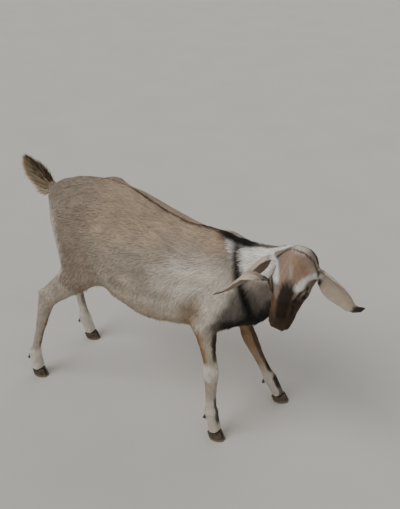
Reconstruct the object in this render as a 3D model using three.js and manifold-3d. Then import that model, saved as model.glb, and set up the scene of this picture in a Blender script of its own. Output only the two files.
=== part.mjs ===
// A standing Nubian goat, life size, with its head turned to its right and its tail raised.
// Millimetres, +Z up, +X along the body towards the breast, +Y to the goat's left.
// Each stretch of the body is a skin drawn over a field of rounded masses: rays leave an axis inside
// the stretch and stop where they leave the field. The stretches are then joined and parted by planes.
import * as THREE from "three";
import { mergeVertices } from "three/addons/utils/BufferGeometryUtils.js";
import Module from "manifold-3d";

const wasm = await Module();
wasm.setup();

const vec = (x, y, z) => new THREE.Vector3(x, y, z);
const radians = THREE.MathUtils.degToRad;

// Driving dimensions
const GAP = 0.3; // between nodes that touch
const MERGE = 2e-3; // points closer than this are one

// The barrel of the body, from the pin bones to the breast
const BARREL = [
  { at: -690, top: 706, widest: 650, low: 602, half: 28 },
  { at: -650, top: 733, widest: 635, low: 535, half: 66 },
  { at: -590, top: 752, widest: 612, low: 480, half: 102 },
  { at: -500, top: 764, widest: 582, low: 432, half: 132 },
  { at: -400, top: 757, widest: 548, low: 376, half: 160 },
  { at: -290, top: 712, widest: 518, low: 343, half: 174 },
  { at: -190, top: 682, widest: 510, low: 346, half: 165 },
  { at: -90, top: 667, widest: 520, low: 358, half: 140 },
  { at: 0, top: 655, widest: 530, low: 378, half: 112 },
  { at: 80, top: 620, widest: 520, low: 415, half: 84 },
];
const BARREL_ROOF = 1.85; // how round the back is across: 2 is an ellipse, less is a ridge
const BARREL_KEEL = 2.15; // the same for the belly

const LEGS = [
  {
    name: "front_right", side: -1,
    top: vec(-22, -84, 545), elbow: vec(-66, -106, 420), knee: vec(-32, -121, 250),
    fetlock: vec(-25, -130, 90), hoof: vec(3, -137, 0), toeOut: 8,
  },
  {
    name: "front_left", side: 1,
    top: vec(-22, 84, 545), elbow: vec(-68, 104, 414), knee: vec(-8, 113, 246),
    fetlock: vec(70, 128, 88), hoof: vec(114, 136, 0), toeOut: 10,
  },
  {
    name: "hind_right", side: -1,
    top: vec(-560, -82, 640), stifle: vec(-500, -114, 474), hock: vec(-664, -136, 320),
    fetlock: vec(-738, -140, 88), hoof: vec(-716, -141, 0), toeOut: 6,
  },
  {
    name: "hind_left", side: 1,
    top: vec(-570, 82, 640), stifle: vec(-515, 114, 470), hock: vec(-744, 127, 320),
    fetlock: vec(-714, 133, 90), hoof: vec(-683, 140, 0), toeOut: 6,
  },
];

// Hooves: each claw is a D-shaped block, sheared so that its toe wall slopes
const CLAW = { length: 56, width: 21, toeHeight: 30, heelHeight: 18, shear: 0.5, cleft: 4, taper: 0.12 };

// The head's own frame: x to the nose, y to the goat's left, z out of the forehead
const HEAD_AT = vec(215, -141, 644);
const HEAD_NOSE = vec(-0.182, -0.126, -0.975).normalize();
const HEAD_LEFT = vec(0.981, 0.008, -0.184);
const HEAD_CROWN = new THREE.Vector3().crossVectors(HEAD_NOSE, HEAD_LEFT).normalize();
HEAD_LEFT.crossVectors(HEAD_CROWN, HEAD_NOSE).normalize();
const HEAD_FRAME = new THREE.Matrix4().makeBasis(HEAD_NOSE, HEAD_LEFT, HEAD_CROWN).setPosition(HEAD_AT);
const TO_HEAD = HEAD_FRAME.clone().invert();
const inHead = (x, y, z) => vec(x, y, z).applyMatrix4(HEAD_FRAME);

const EYE = { at: vec(2, 40.5, 6), radius: 13.5, lid: 4, slitLength: 27, slitHeight: 11 };
// The block that parts each free limb from the torso
const BLOCK = { width: 250, hindWidth: 420, out: 200, depth: 600, inner: 48 };
const EAR = { width: 74, thickness: 5, rootCurl: 95, tipCurl: 36, rows: 15, columns: 7 };

// Hair of the tail: rows of locks up the tail, each with how far they reach out and onwards
const LOCK = {
  width: 19, thickness: 6,
  rings: [{ t: 0.08, broad: 0.7 }, { t: 0.45, broad: 1 }, { t: 0.78, broad: 0.62 }],
};
const TAIL_FLATNESS = 0.62;
const TAIL_LOCKS = [
  { u: 0.44, count: 8, reach: 30, length: 46 },
  { u: 0.58, count: 8, reach: 34, length: 48 },
  { u: 0.72, count: 8, reach: 32, length: 48 },
  { u: 0.86, count: 7, reach: 24, length: 46 },
  { u: 0.96, count: 5, reach: 10, length: 44 },
];

// Where the nodes part: a point on the plane and the way to the node further out
const NECK_BASE = { through: vec(60, 0, 563), towards: vec(0.78, 0, 0.62).normalize() };
const THROAT = { through: vec(218, -62, 672), towards: vec(0.45, -0.88, -0.15).normalize() };

// A seeded draw between 0 and 1
function seeded(seed) {
  let state = seed;
  return () => {
    state = (state * 16807) % 2147483647;
    return state / 2147483647;
  };
}

// Fields: each takes a point and gives a rough distance, negative inside
// A rounded mass between two points, which may be thinner in one direction
function mass(from, to, fromRadius, toRadius, thin = null, thinness = 1) {
  const [ax, ay, az] = from.toArray();
  const [dx, dy, dz] = to.clone().sub(from).toArray();
  const lengthSquared = dx * dx + dy * dy + dz * dz || 1;
  return (x, y, z) => {
    let [px, py, pz] = [x - ax, y - ay, z - az];
    const t = Math.min(1, Math.max(0, (px * dx + py * dy + pz * dz) / lengthSquared));
    px -= t * dx;
    py -= t * dy;
    pz -= t * dz;
    if (thin) {
      const across = (px * thin.x + py * thin.y + pz * thin.z) * (thinness - 1);
      px += across * thin.x;
      py += across * thin.y;
      pz += across * thin.z;
    }
    return Math.hypot(px, py, pz) - (fromRadius + t * (toRadius - fromRadius));
  };
}

const softMin = (a, b, soft) => {
  const h = Math.max(soft - Math.abs(a - b), 0) / soft;
  return Math.min(a, b) - (h * h * soft) / 4;
};

function blended(parts, soft) {
  return (x, y, z) => parts.reduce((d, part) => softMin(d, part(x, y, z), soft), 1e4);
}

const mirrored = (build) => [build(-1), build(1)];

// The barrel: an egg-shaped section at each station, run through splines
const alongBarrel = (key) =>
  new THREE.SplineCurve(BARREL.map((station) => new THREE.Vector2(station.at, station[key])));
const BARREL_LINES = Object.fromEntries(
  ["top", "widest", "low", "half"].map((key) => [key, alongBarrel(key).getSpacedPoints(240)]),
);
function barrelAt(key, x) {
  const line = BARREL_LINES[key];
  const after = line.findIndex((p) => p.x >= x);
  if (after === 0) return line[0].y;
  if (after < 0) return line.at(-1).y;
  const [a, b] = [line[after - 1], line[after]];
  return a.y + ((b.y - a.y) * (x - a.x)) / (b.x - a.x || 1);
}
function barrel(x, y, z) {
  const inside = THREE.MathUtils.clamp(x, BARREL[0].at, BARREL.at(-1).at);
  const [top, widest, low, half] = ["top", "widest", "low", "half"].map((key) => barrelAt(key, inside));
  const roof = z > widest;
  const power = roof ? BARREL_ROOF : BARREL_KEEL;
  const up = Math.abs(z - widest) / (roof ? top - widest : widest - low);
  const round = (Math.abs(y / half) ** power + up ** power) ** (1 / power);
  return Math.max((round - 1) * half * 0.8, Math.abs(x - inside) - 1);
}

const trunkMasses = [
  barrel,
  // shoulder blade, point of the shoulder and upper arm
  ...LEGS.filter((leg) => leg.elbow).flatMap((leg) => [
    mass(vec(-62, leg.side * 54, 616), vec(34, leg.side * 86, 498), 42, 50),
    mass(vec(40, leg.side * 86, 492), leg.elbow.clone().setY(leg.side * 95), 50, 44),
  ]),
  mass(vec(70, 0, 480), vec(-70, 0, 420), 62, 62), // brisket
  mass(vec(-35, 0, 648), vec(-120, 0, 648), 24, 28), // withers
  // hip points, pin bones, and the haunch with its hamstrings
  ...mirrored((s) => mass(vec(-492, s * 84, 716), vec(-520, s * 80, 710), 28, 28)),
  ...mirrored((s) => mass(vec(-650, s * 36, 686), vec(-625, s * 42, 680), 28, 36)),
  ...LEGS.filter((leg) => leg.stifle).flatMap((leg) => [
    mass(leg.top, leg.stifle, 64, 48),
    mass(vec(-606, leg.side * 60, 640), leg.stifle.clone().lerp(leg.hock, 0.25), 42, 40),
  ]),
  mass(vec(-585, 0, 520), vec(-565, 0, 484), 56, 44), // small dry udder
];
const trunk = blended(trunkMasses, 36);

const neckMasses = [
  mass(vec(-70, 0, 605), vec(70, 4, 612), 62, 46), // crest
  mass(vec(70, 4, 612), vec(178, -18, 652), 46, 38),
  mass(vec(178, -18, 652), inHead(-64, 0, -26), 38, 36),
  mass(vec(20, 0, 515), vec(110, 4, 570), 76, 58), // windpipe side
  mass(vec(110, 4, 570), inHead(-36, -4, -62), 58, 46),
];

const headMasses = [
  mass(vec(-74, 0, -4), vec(-18, 0, 0), 44, 47), // skull
  ...mirrored((s) => mass(vec(-34, s * 22, 16), vec(10, s * 33, 10), 24, 19)), // brow and orbit
  ...mirrored((s) => mass(vec(-8, s * 36, 6), vec(12, s * 35, 5), 19, 18)), // rim of the orbit
  mass(vec(-24, 0, 17), vec(20, 0, 19), 28, 26.5), // bridge of the nose, arched
  mass(vec(20, 0, 19), vec(60, 0, 11), 26.5, 24),
  mass(vec(60, 0, 11), vec(112, 0, -10), 24, 20),
  ...mirrored((s) => mass(vec(18, s * 26, -16), vec(100, s * 15, -26), 25, 20)), // cheek bones
  ...mirrored((s) => mass(vec(104, s * 8, -22), vec(130, s * 9, -26), 25, 23)), // muzzle
  ...mirrored((s) => mass(vec(132, s * 15, -15), vec(122, s * 16, -17), 10, 12)), // nostril wings
  ...mirrored((s) => mass(vec(128, s * 7, -38), vec(110, s * 8, -38), 17, 20)), // upper lip
  ...mirrored((s) => mass(vec(-34, s * 28, -56), vec(38, s * 22, -54), 19, 17)), // lower jaw
  ...mirrored((s) => mass(vec(38, s * 22, -54), vec(108, s * 8, -51), 17, 13)),
  mass(vec(112, 0, -53), vec(119, 0, -52), 15, 13), // chin
  ...mirrored((s) => mass(vec(-30, s * 35, -40), vec(10, s * 33, -34), 22, 19)), // chewing muscle
  mass(vec(-52, 0, -52), vec(-10, 0, -50), 40, 34), // throat
  ...mirrored((s) => mass(vec(-64, s * 36, -4), vec(-65, s * 52, -9), 25, 20)), // root of the ear
];
const headOwn = blended(headMasses, 13);
function head(x, y, z) {
  const p = vec(x, y, z).applyMatrix4(TO_HEAD);
  return headOwn(p.x, p.y, p.z);
}

// Skins
const STEP = 4; // of the search along a ray
function reachOf(field, from, ray, most) {
  const at = (r) => field(from.x + ray.x * r, from.y + ray.y * r, from.z + ray.z * r);
  let far = STEP;
  while (far < most && at(far) < 0) far += STEP;
  if (far >= most) return most;
  let near = far - STEP;
  for (let i = 0; i < 10; i++) {
    const middle = (near + far) / 2;
    if (at(middle) < 0) near = middle;
    else far = middle;
  }
  return (near + far) / 2;
}

// A closed skin over a field, with rings along an axis and a fan of rings round each end. Where the
// neighbours would draw it outwards it flares by no more than its own share, and so dives into them.
const FLARE = 8;
function skin({ masses, neighbours = [], soft, axis, across, rings, fan, around, most = 130 }) {
  const own = blended(masses, soft);
  const field = blended([own, ...neighbours], 30);
  const stations = [];
  for (let i = fan; i > 0; i--) stations.push({ u: 0, tilt: (-Math.PI / 2) * (i / (fan + 1)) });
  for (let i = 0; i < rings; i++) stations.push({ u: i / (rings - 1), tilt: 0 });
  for (let i = 1; i <= fan; i++) stations.push({ u: 1, tilt: (Math.PI / 2) * (i / (fan + 1)) });
  const points = [];
  const shoot = (u, ray) => {
    const from = axis.getPointAt(u);
    const bare = reachOf(own, from, ray, most);
    const reach = neighbours.length ? Math.min(reachOf(field, from, ray, most), bare + FLARE) : bare;
    points.push(from.addScaledVector(ray, reach));
  };
  shoot(0, axis.getTangentAt(0).negate());
  for (const { u, tilt } of stations) {
    const along = axis.getTangentAt(u);
    const n = across.clone().addScaledVector(along, -across.dot(along)).normalize();
    const b = new THREE.Vector3().crossVectors(along, n);
    for (let j = 0; j < around; j++) {
      const angle = (2 * Math.PI * j) / around;
      const ray = n.clone().multiplyScalar(Math.cos(angle)).addScaledVector(b, Math.sin(angle));
      shoot(u, ray.multiplyScalar(Math.cos(tilt)).addScaledVector(along, Math.sin(tilt)));
    }
  }
  shoot(1, axis.getTangentAt(1));
  return solid(closedRings(points, stations.length, around));
}

// Joins a first pole, rings of points and a last pole into one closed surface
function closedRings(points, rings, around) {
  const index = [];
  const at = (ring, j) => 1 + ring * around + (j % around);
  const last = points.length - 1;
  for (let j = 0; j < around; j++) {
    index.push(0, at(0, j + 1), at(0, j));
    for (let i = 0; i < rings - 1; i++) {
      index.push(at(i, j), at(i, j + 1), at(i + 1, j + 1), at(i, j), at(i + 1, j + 1), at(i + 1, j));
    }
    index.push(last, at(rings - 1, j), at(rings - 1, j + 1));
  }
  return new THREE.BufferGeometry().setFromPoints(points).setIndex(index);
}

// Solids
function solid(geometry, tolerance = 1e-4) {
  const bare = geometry.clone();
  bare.deleteAttribute("normal");
  bare.deleteAttribute("uv");
  const { attributes, index } = mergeVertices(bare, tolerance);
  return new wasm.Manifold(
    new wasm.Mesh({
      numProp: 3,
      vertProperties: Float32Array.from(attributes.position.array),
      triVerts: Uint32Array.from(index.array),
    }),
  );
}

const beyond = (body, { through, towards }) =>
  body.trimByPlane(towards.toArray(), through.dot(towards) + GAP / 2);
const before = (body, { through, towards }) =>
  body.trimByPlane(towards.clone().negate().toArray(), -through.dot(towards) + GAP / 2);
const largest = (body) => body.decompose().sort((a, b) => b.volume() - a.volume())[0];
const joined = (bodies) => bodies.reduce((a, b) => a.add(b));

const FINISHES = {
  coat: new THREE.MeshStandardMaterial({ color: "#c9b49b", roughness: 0.9, metalness: 0 }),
  face: new THREE.MeshStandardMaterial({ color: "#8f7563", roughness: 0.85, metalness: 0 }),
  ear: new THREE.MeshStandardMaterial({ color: "#cdb9a6", roughness: 0.85, metalness: 0 }),
  tail_hair: new THREE.MeshStandardMaterial({ color: "#7d6a54", roughness: 0.9, metalness: 0 }),
  hoof_horn: new THREE.MeshStandardMaterial({ color: "#3a3530", roughness: 0.55, metalness: 0 }),
  eye: new THREE.MeshStandardMaterial({ color: "#8a7a4e", roughness: 0.1, metalness: 0 }),
};
function geometryOf(body) {
  const { vertProperties, triVerts } = body.getMesh();
  const geometry = new THREE.BufferGeometry();
  geometry.setAttribute("position", new THREE.BufferAttribute(Float32Array.from(vertProperties), 3));
  return geometry.setIndex(new THREE.BufferAttribute(Uint32Array.from(triVerts), 1));
}
function node(name, body, finish) {
  // points a hair apart are made one, which may close a pocket, so the outer surface is taken again
  const geometry = geometryOf(largest(solid(geometryOf(largest(body)), MERGE)));
  geometry.computeVertexNormals();
  const mesh = new THREE.Mesh(geometry, FINISHES[finish]);
  mesh.name = name;
  return mesh;
}

// Trunk, neck and head
const trunkBody = skin({
  masses: trunkMasses, soft: 36,
  axis: new THREE.CatmullRomCurve3([
    vec(-630, 0, 635), vec(-480, 0, 590), vec(-280, 0, 525), vec(-60, 0, 525), vec(50, 0, 520),
  ]),
  across: vec(0, 1, 0), rings: 26, fan: 4, around: 30, most: 260,
});
const neckBody = skin({
  masses: neckMasses, neighbours: [trunk, head], soft: 40,
  axis: new THREE.CatmullRomCurve3([
    vec(10, 0, 560), vec(90, 3, 588), vec(160, -14, 625), inHead(-52, 0, -44),
  ]),
  across: vec(0, 1, 0), rings: 12, fan: 1, around: 22,
});
const headBody = skin({
  masses: [head], neighbours: [blended(neckMasses, 40)], soft: 1,
  axis: new THREE.CatmullRomCurve3([
    inHead(-50, 0, -22), inHead(10, 0, -20), inHead(60, 0, -20), inHead(112, 0, -28),
  ]),
  across: HEAD_LEFT, rings: 20, fan: 4, around: 30,
});

// Eyes: a ball in a socket, under lids that leave an almond slit
const slitShape = new THREE.Shape()
  .moveTo(-EYE.slitLength / 2, 1.5)
  .quadraticCurveTo(0, -EYE.slitHeight * 0.8, EYE.slitLength / 2, -1)
  .quadraticCurveTo(0, EYE.slitHeight * 1.25, -EYE.slitLength / 2, 1.5);
function eyeParts(side) {
  const centre = EYE.at.clone().setY(side * EYE.at.y);
  const outward = vec(0.12, side, 0.2).normalize();
  const forward = vec(1, 0, 0).addScaledVector(outward, -outward.x).normalize();
  const frame = new THREE.Matrix4().makeBasis(
    forward, new THREE.Vector3().crossVectors(outward, forward), outward,
  ).setPosition(centre);
  const place = (geometry) => solid(geometry.applyMatrix4(frame).applyMatrix4(HEAD_FRAME));
  const ball = (radius, w, h) => place(new THREE.SphereGeometry(radius, w, h));
  return {
    lids: ball(EYE.radius + EYE.lid, 14, 9),
    socket: ball(EYE.radius + GAP, 12, 8),
    slit: place(new THREE.ExtrudeGeometry(slitShape, { depth: 40, bevelEnabled: false, curveSegments: 6 })),
    eyeball: ball(EYE.radius, 12, 8),
  };
}
const eyes = { right: eyeParts(-1), left: eyeParts(1) };

// The line of the mouth and the nostrils, sunk into the muzzle
const NOSTRIL_RADIUS = 4;
const MOUTH = { depth: 2.6, back: 82, height: -43, drop: 5, turns: 14 };
function mouthGroove() {
  const points = [];
  for (let i = 0; i <= MOUTH.turns; i++) {
    const a = (i / MOUTH.turns) * 2 - 1;
    const from = vec(MOUTH.back, 0, MOUTH.height - MOUTH.drop * Math.abs(a));
    const ray = vec(Math.cos(a * radians(78)), Math.sin(a * radians(78)), 0);
    const reach = reachOf((x, y, z) => headOwn(x, y, z), from, ray, 90);
    points.push(from.addScaledVector(ray, reach));
  }
  const section = new THREE.Shape(new THREE.EllipseCurve(0, 0, MOUTH.depth, MOUTH.depth).getPoints(6));
  return solid(new THREE.ExtrudeGeometry(section, {
    steps: 26, bevelEnabled: false, extrudePath: new THREE.CatmullRomCurve3(points),
  }).applyMatrix4(HEAD_FRAME));
}
function nostril(side) {
  const from = vec(126, side * 10, -22);
  const [low, high] = [vec(1, side * 0.12, -0.1), vec(0.8, side * 0.8, 0.5)].map((ray) => {
    ray.normalize();
    return from.clone().addScaledVector(ray, reachOf(headOwn, from, ray, 60) - 1);
  });
  const along = high.clone().sub(low);
  const geometry = new THREE.CapsuleGeometry(NOSTRIL_RADIUS, along.length(), 3, 8);
  geometry.applyQuaternion(new THREE.Quaternion().setFromUnitVectors(vec(0, 1, 0), along.normalize()));
  const middle = low.add(high).multiplyScalar(0.5);
  return solid(geometry.translate(middle.x, middle.y, middle.z).applyMatrix4(HEAD_FRAME));
}

// Ears: a cupped blade, wide in the middle, with its root in the head
function ear({ line, opening }) {
  const axis = new THREE.CatmullRomCurve3(line);
  const points = [];
  const { rows, columns } = EAR;
  const first = axis.getPointAt(0);
  for (let i = 0; i < rows; i++) {
    const u = i / (rows - 1);
    const along = axis.getTangentAt(u);
    const mouth = opening.clone().addScaledVector(along, -opening.dot(along)).normalize();
    const across = new THREE.Vector3().crossVectors(along, mouth);
    const half = (EAR.width / 2) * (0.36 + 0.64 * THREE.MathUtils.smoothstep(u, 0, 0.45))
      * (1 - 0.92 * Math.max(0, (u - 0.5) / 0.5) ** 1.5);
    const curl = radians(THREE.MathUtils.lerp(EAR.rootCurl, EAR.tipCurl, Math.min(1, u * 1.6)));
    const radius = half / Math.sin(Math.min(curl, Math.PI / 2));
    const middle = (radius * (1 + Math.cos(curl))) / 2;
    const wall = EAR.thickness * (1 - 0.5 * u);
    const ring = (r, from, to) => {
      for (let j = 0; j <= columns; j++) {
        const a = THREE.MathUtils.lerp(from, to, j / columns);
        points.push(axis.getPointAt(u)
          .addScaledVector(across, Math.sin(a) * r)
          .addScaledVector(mouth, middle - Math.cos(a) * r));
      }
    };
    ring(radius, curl, -curl);
    ring(radius - wall, -curl, curl);
  }
  const tip = axis.getPointAt(1).addScaledVector(axis.getTangentAt(1), 4);
  return solid(closedRings([first, ...points, tip], rows, 2 * (columns + 1)));
}
const earPlane = (side) => ({
  through: inHead(-66, side * 76, -12),
  towards: vec(-0.1, side, -0.1).transformDirection(HEAD_FRAME),
});
const EAR_PLANES = { right: earPlane(-1), left: earPlane(1) };
const earBlades = {
  right: ear({
    line: [
      inHead(-66, -42, -6), vec(141, -128, 706), vec(112, -130, 670), vec(83, -132, 636),
      vec(49, -139, 603), vec(18, -147, 576), vec(-11, -153, 558),
    ],
    opening: vec(0.5, -0.3, -0.57),
  }),
  left: ear({
    line: [
      inHead(-66, 42, -6), vec(283, -123, 703), vec(303, -121, 687), vec(326, -118, 664),
      vec(356, -113, 635), vec(381, -108, 611), vec(400, -104, 604), vec(418, -100, 611),
    ],
    opening: vec(-0.05, -0.95, -0.2),
  }),
};

// Legs
const along = (a, b, t) => a.clone().lerp(b, t);
function frontMasses({ top, elbow, knee, fetlock }) {
  return [
    mass(top, elbow, 24, 35),
    mass(elbow, along(elbow, knee, 0.85), 37, 21),
    mass(along(knee, elbow, 0.07), along(knee, fetlock, 0.06), 23.5, 22.5),
    mass(knee, along(knee, fetlock, 0.3), 20, 17),
    mass(along(knee, fetlock, 0.1).add(vec(-8, 0, 0)), along(knee, fetlock, 0.9).add(vec(-7, 0, 0)), 11, 11),
  ];
}
function hindMasses({ top, stifle, hock, fetlock, side }) {
  const heel = hock.clone().add(vec(-19, side * 1, 35)); // point of the hock
  return [
    mass(top, stifle, 34, 38),
    mass(stifle, along(stifle, hock, 0.55), 44, 29),
    mass(along(stifle, hock, 0.3).add(vec(-18, 0, 14)), heel, 36, 12),
    mass(along(stifle, hock, 0.5), hock, 29, 22),
    mass(heel, hock, 13, 20),
    mass(hock, along(hock, fetlock, 0.14), 23, 19.5),
    mass(hock, along(hock, fetlock, 0.4), 19, 17),
  ];
}
function footMasses({ joint, fetlock, coronet, left }) {
  return [
    mass(joint, fetlock, 16.5, 16.5),
    mass(fetlock, along(fetlock, coronet, 0.12), 20.5, 19),
    mass(fetlock, coronet, 17, 17),
    ...mirrored((s) => mass(
      along(fetlock, coronet, 0.55).addScaledVector(left, s * 7),
      coronet.clone().addScaledVector(left, s * 11), 13, 14,
    )),
  ];
}
function dewclaw(fetlock, left, forward, s) {
  const root = fetlock.clone().addScaledVector(left, s * 10).addScaledVector(forward, -13).add(vec(0, 0, -9));
  const tip = root.clone().addScaledVector(forward, -11).add(vec(0, 0, -13));
  const away = tip.clone().sub(root);
  const profile = [[0, 0], [8, 2], [6.5, 12], [3, 17], [0, 18]].map(([r, h]) => new THREE.Vector2(r, h));
  const geometry = new THREE.LatheGeometry(profile, 8);
  geometry.applyQuaternion(new THREE.Quaternion().setFromUnitVectors(vec(0, 1, 0), away.normalize()));
  return solid(geometry.translate(root.x, root.y, root.z));
}
// A claw's sole, with its straight side along the cleft, then sheared and narrowed as it rises
function claw(hoof, forward, left, s) {
  const { length: l, width: w } = CLAW;
  const sole = new THREE.Shape()
    .moveTo(-l / 2 + 5, 0)
    .lineTo(l / 2 - 4, 0)
    .quadraticCurveTo(l / 2 + 1, w * 0.12, l / 2 - 7, w * 0.5)
    .quadraticCurveTo(l * 0.12, w * 1.12, -l * 0.2, w * 0.98)
    .quadraticCurveTo(-l / 2 - 3, w * 0.85, -l / 2 + 5, 0);
  const geometry = new THREE.ExtrudeGeometry(sole, {
    depth: 1, steps: 2, bevelEnabled: false, curveSegments: 4,
  });
  const position = geometry.attributes.position;
  for (let i = 0; i < position.count; i++) {
    const [f, side, h] = [position.getX(i), position.getY(i), position.getZ(i)];
    const z = h * THREE.MathUtils.mapLinear(f, -l / 2, l / 2, CLAW.heelHeight, CLAW.toeHeight);
    const narrow = 1 - CLAW.taper * h;
    const at = hoof.clone().addScaledVector(forward, f - z * CLAW.shear)
      .addScaledVector(left, s * (CLAW.cleft / 2 + side * narrow)).setZ(z);
    position.setXYZ(i, at.x, at.y, at.z);
  }
  // a claw built to the right is a mirror image, so its faces are turned round
  const turned = (i) => i - (i % 3) + ((3 - (i % 3)) % 3);
  if (s < 0) geometry.setIndex([...Array(position.count).keys()].map(turned));
  return solid(geometry);
}
function leg(place) {
  const { name, side, top, elbow, knee, stifle, hock, fetlock, hoof } = place;
  const turn = radians(side * place.toeOut);
  const forward = vec(Math.cos(turn), Math.sin(turn), 0);
  const left = vec(-Math.sin(turn), Math.cos(turn), 0);
  const front = Boolean(elbow);
  const coronet = hoof.clone().addScaledVector(forward, -12).setZ(26);
  const masses = [
    ...(front ? frontMasses(place) : hindMasses(place)),
    ...footMasses({ joint: front ? knee : hock, fetlock, coronet, left }),
  ];
  const low = coronet.clone().addScaledVector(forward, 6).setZ(10);
  const axis = new THREE.CatmullRomCurve3(
    front
      ? [top, elbow, knee, fetlock, coronet, low]
      : [
        top, along(top, stifle, 0.75), along(stifle, hock, 0.45), hock.clone().add(vec(-2, 0, 2)),
        fetlock, coronet, low,
      ],
    false, "centripetal",
  );
  const limb = joined([
    skin({
      masses, neighbours: [trunk], soft: 16, axis, across: vec(0, 1, 0),
      rings: front ? 26 : 32, fan: 1, around: front ? 12 : 14,
    }),
    ...mirrored((s) => dewclaw(fetlock, left, forward, s)),
  ]);
  // the plane of the hoof's top rises towards the toe
  const rise = (CLAW.toeHeight - CLAW.heelHeight) / CLAW.length;
  const slope = rise / (1 - rise * CLAW.shear);
  const crown = {
    through: hoof.clone().setZ((CLAW.toeHeight + CLAW.heelHeight) / 2 / (1 - rise * CLAW.shear)),
    towards: forward.clone().multiplyScalar(-slope).setZ(1).normalize(),
  };
  const clearance = crown.towards.clone().multiplyScalar(GAP);
  // the free part of the limb is what lies in a block whose top face is the cut
  const cut = front ? elbow.clone().add(vec(8, 0, -62)) : along(stifle, hock, 0.2).add(vec(0, 0, -6));
  const down = (front ? knee.clone().sub(elbow).setY(0) : vec(-0.5, 0, -0.87)).normalize();
  const block = (inset) => {
    const geometry = new THREE.BoxGeometry(front ? BLOCK.width : BLOCK.hindWidth, BLOCK.out, BLOCK.depth)
      .translate(0, side * (BLOCK.inner + BLOCK.out / 2), -BLOCK.depth / 2 - inset)
      .applyQuaternion(new THREE.Quaternion().setFromUnitVectors(vec(0, 0, -1), down));
    return solid(geometry.translate(cut.x, 0, cut.z));
  };
  return {
    name, limb, front, block,
    crown: { through: crown.through.add(clearance), towards: crown.towards },
    lower: {
      through: along(front ? knee : hock, fetlock, 0.12),
      towards: fetlock.clone().sub(front ? knee : hock).normalize(),
    },
    claws: { inner: claw(hoof, forward, left, -side), outer: claw(hoof, forward, left, side) },
  };
}
const legs = LEGS.map(leg);

// Tail: a core that rises from the rump, and a fan of locks that lie along it and open to both sides
const TAIL_LINE = new THREE.CatmullRomCurve3([
  vec(-640, 0, 668), vec(-690, 0, 690), vec(-724, 4, 708), vec(-750, 7, 723), vec(-772, 9, 739), vec(-784, 10, 750),
]);
const tailCore = skin({
  masses: [
    mass(TAIL_LINE.getPoint(0), TAIL_LINE.getPoint(0.4), 24, 18),
    mass(TAIL_LINE.getPoint(0.4), TAIL_LINE.getPoint(0.7), 18, 14),
    mass(TAIL_LINE.getPoint(0.7), TAIL_LINE.getPoint(1), 14, 7),
  ],
  soft: 10, axis: TAIL_LINE, across: vec(0, 1, 0), rings: 9, fan: 1, around: 10,
});
const TAIL_BASE = { through: TAIL_LINE.getPoint(0.33), towards: TAIL_LINE.getTangent(0.33) };

// A flat lock on a bent line: two sides wide, two thin, drawn out to a point
function lock(line, width, thickness, faceUp) {
  const points = [line.getPoint(0)];
  for (const { t, broad } of LOCK.rings) {
    const along = line.getTangent(t);
    const side = new THREE.Vector3().crossVectors(along, faceUp).normalize();
    const up = new THREE.Vector3().crossVectors(side, along);
    const centre = line.getPoint(t);
    for (const [w, h] of [[1, 0], [0, -1], [-1, 0], [0, 1]]) {
      points.push(centre.clone()
        .addScaledVector(side, (w * broad * width) / 2)
        .addScaledVector(up, (h * broad * thickness) / 2));
    }
  }
  return solid(closedRings([...points, line.getPoint(1)], LOCK.rings.length, 4));
}
function tailLocks() {
  const draw = seeded(7);
  const locks = [];
  TAIL_LOCKS.forEach(({ u, count, reach, length }, row) => {
    const [centre, forward] = [TAIL_LINE.getPointAt(u), TAIL_LINE.getTangentAt(u)];
    const wide = new THREE.Vector3().crossVectors(forward, vec(0, 0, 1)).normalize();
    const high = new THREE.Vector3().crossVectors(wide, forward);
    for (let i = 0; i < count; i++) {
      const angle = (2 * Math.PI * (i + (row % 2) / 2)) / count + (draw() - 0.5) * 0.3;
      const out = wide.clone().multiplyScalar(Math.cos(angle)).addScaledVector(high, Math.sin(angle));
      const spread = reach * Math.hypot(Math.cos(angle), TAIL_FLATNESS * Math.sin(angle));
      const long = length * (0.85 + 0.3 * draw());
      const at = (outwards, onwards) =>
        centre.clone().addScaledVector(out, outwards).addScaledVector(forward, onwards);
      const line = new THREE.QuadraticBezierCurve3(at(3, -8), at(spread * 0.8, long * 0.35), at(spread, long));
      locks.push(lock(line, LOCK.width, LOCK.thickness, out));
    }
  });
  return locks;
}

// The whole body is joined, then parted from the outside in
const whole = joined([trunkBody, neckBody, headBody, tailCore, ...legs.map(({ limb }) => limb)]);
const root = new THREE.Group();
const add = (...args) => root.add(node(...args));

add("tail", beyond(joined([beyond(whole, TAIL_BASE), ...tailLocks()]), TAIL_BASE), "tail_hair");
const tailless = before(whole, TAIL_BASE);
const frontEnd = beyond(tailless, NECK_BASE);
add("neck", before(frontEnd, THROAT), "coat");
const skull = beyond(
  joined([
    frontEnd,
    ...["right", "left"].flatMap((side) => [eyes[side].lids, before(earBlades[side], EAR_PLANES[side])]),
  ]),
  THROAT,
);
const carved = ["right", "left"].reduce(
  (body, side) => body.subtract(eyes[side].socket).subtract(eyes[side].slit),
  skull.subtract(mouthGroove()).subtract(nostril(-1)).subtract(nostril(1)),
);
add("head", carved, "face");
for (const side of ["right", "left"]) {
  add(`eye_${side}`, eyes[side].eyeball, "eye");
  add(`ear_${side}`, beyond(earBlades[side], EAR_PLANES[side]), "ear");
}
let torso = before(tailless, NECK_BASE);
for (const { name, front, block, lower, crown, claws } of legs) {
  const limb = torso.intersect(block(GAP / 2));
  torso = torso.subtract(block(-GAP / 2));
  add(`${front ? "forearm" : "gaskin"}_${name}`, before(limb, lower), "coat");
  add(`cannon_${name}`, beyond(beyond(limb, lower), crown), "coat");
  for (const claw of ["inner", "outer"]) add(`hoof_${name}_${claw}`, claws[claw], "hoof_horn");
}
add("torso", torso, "coat");

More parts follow.
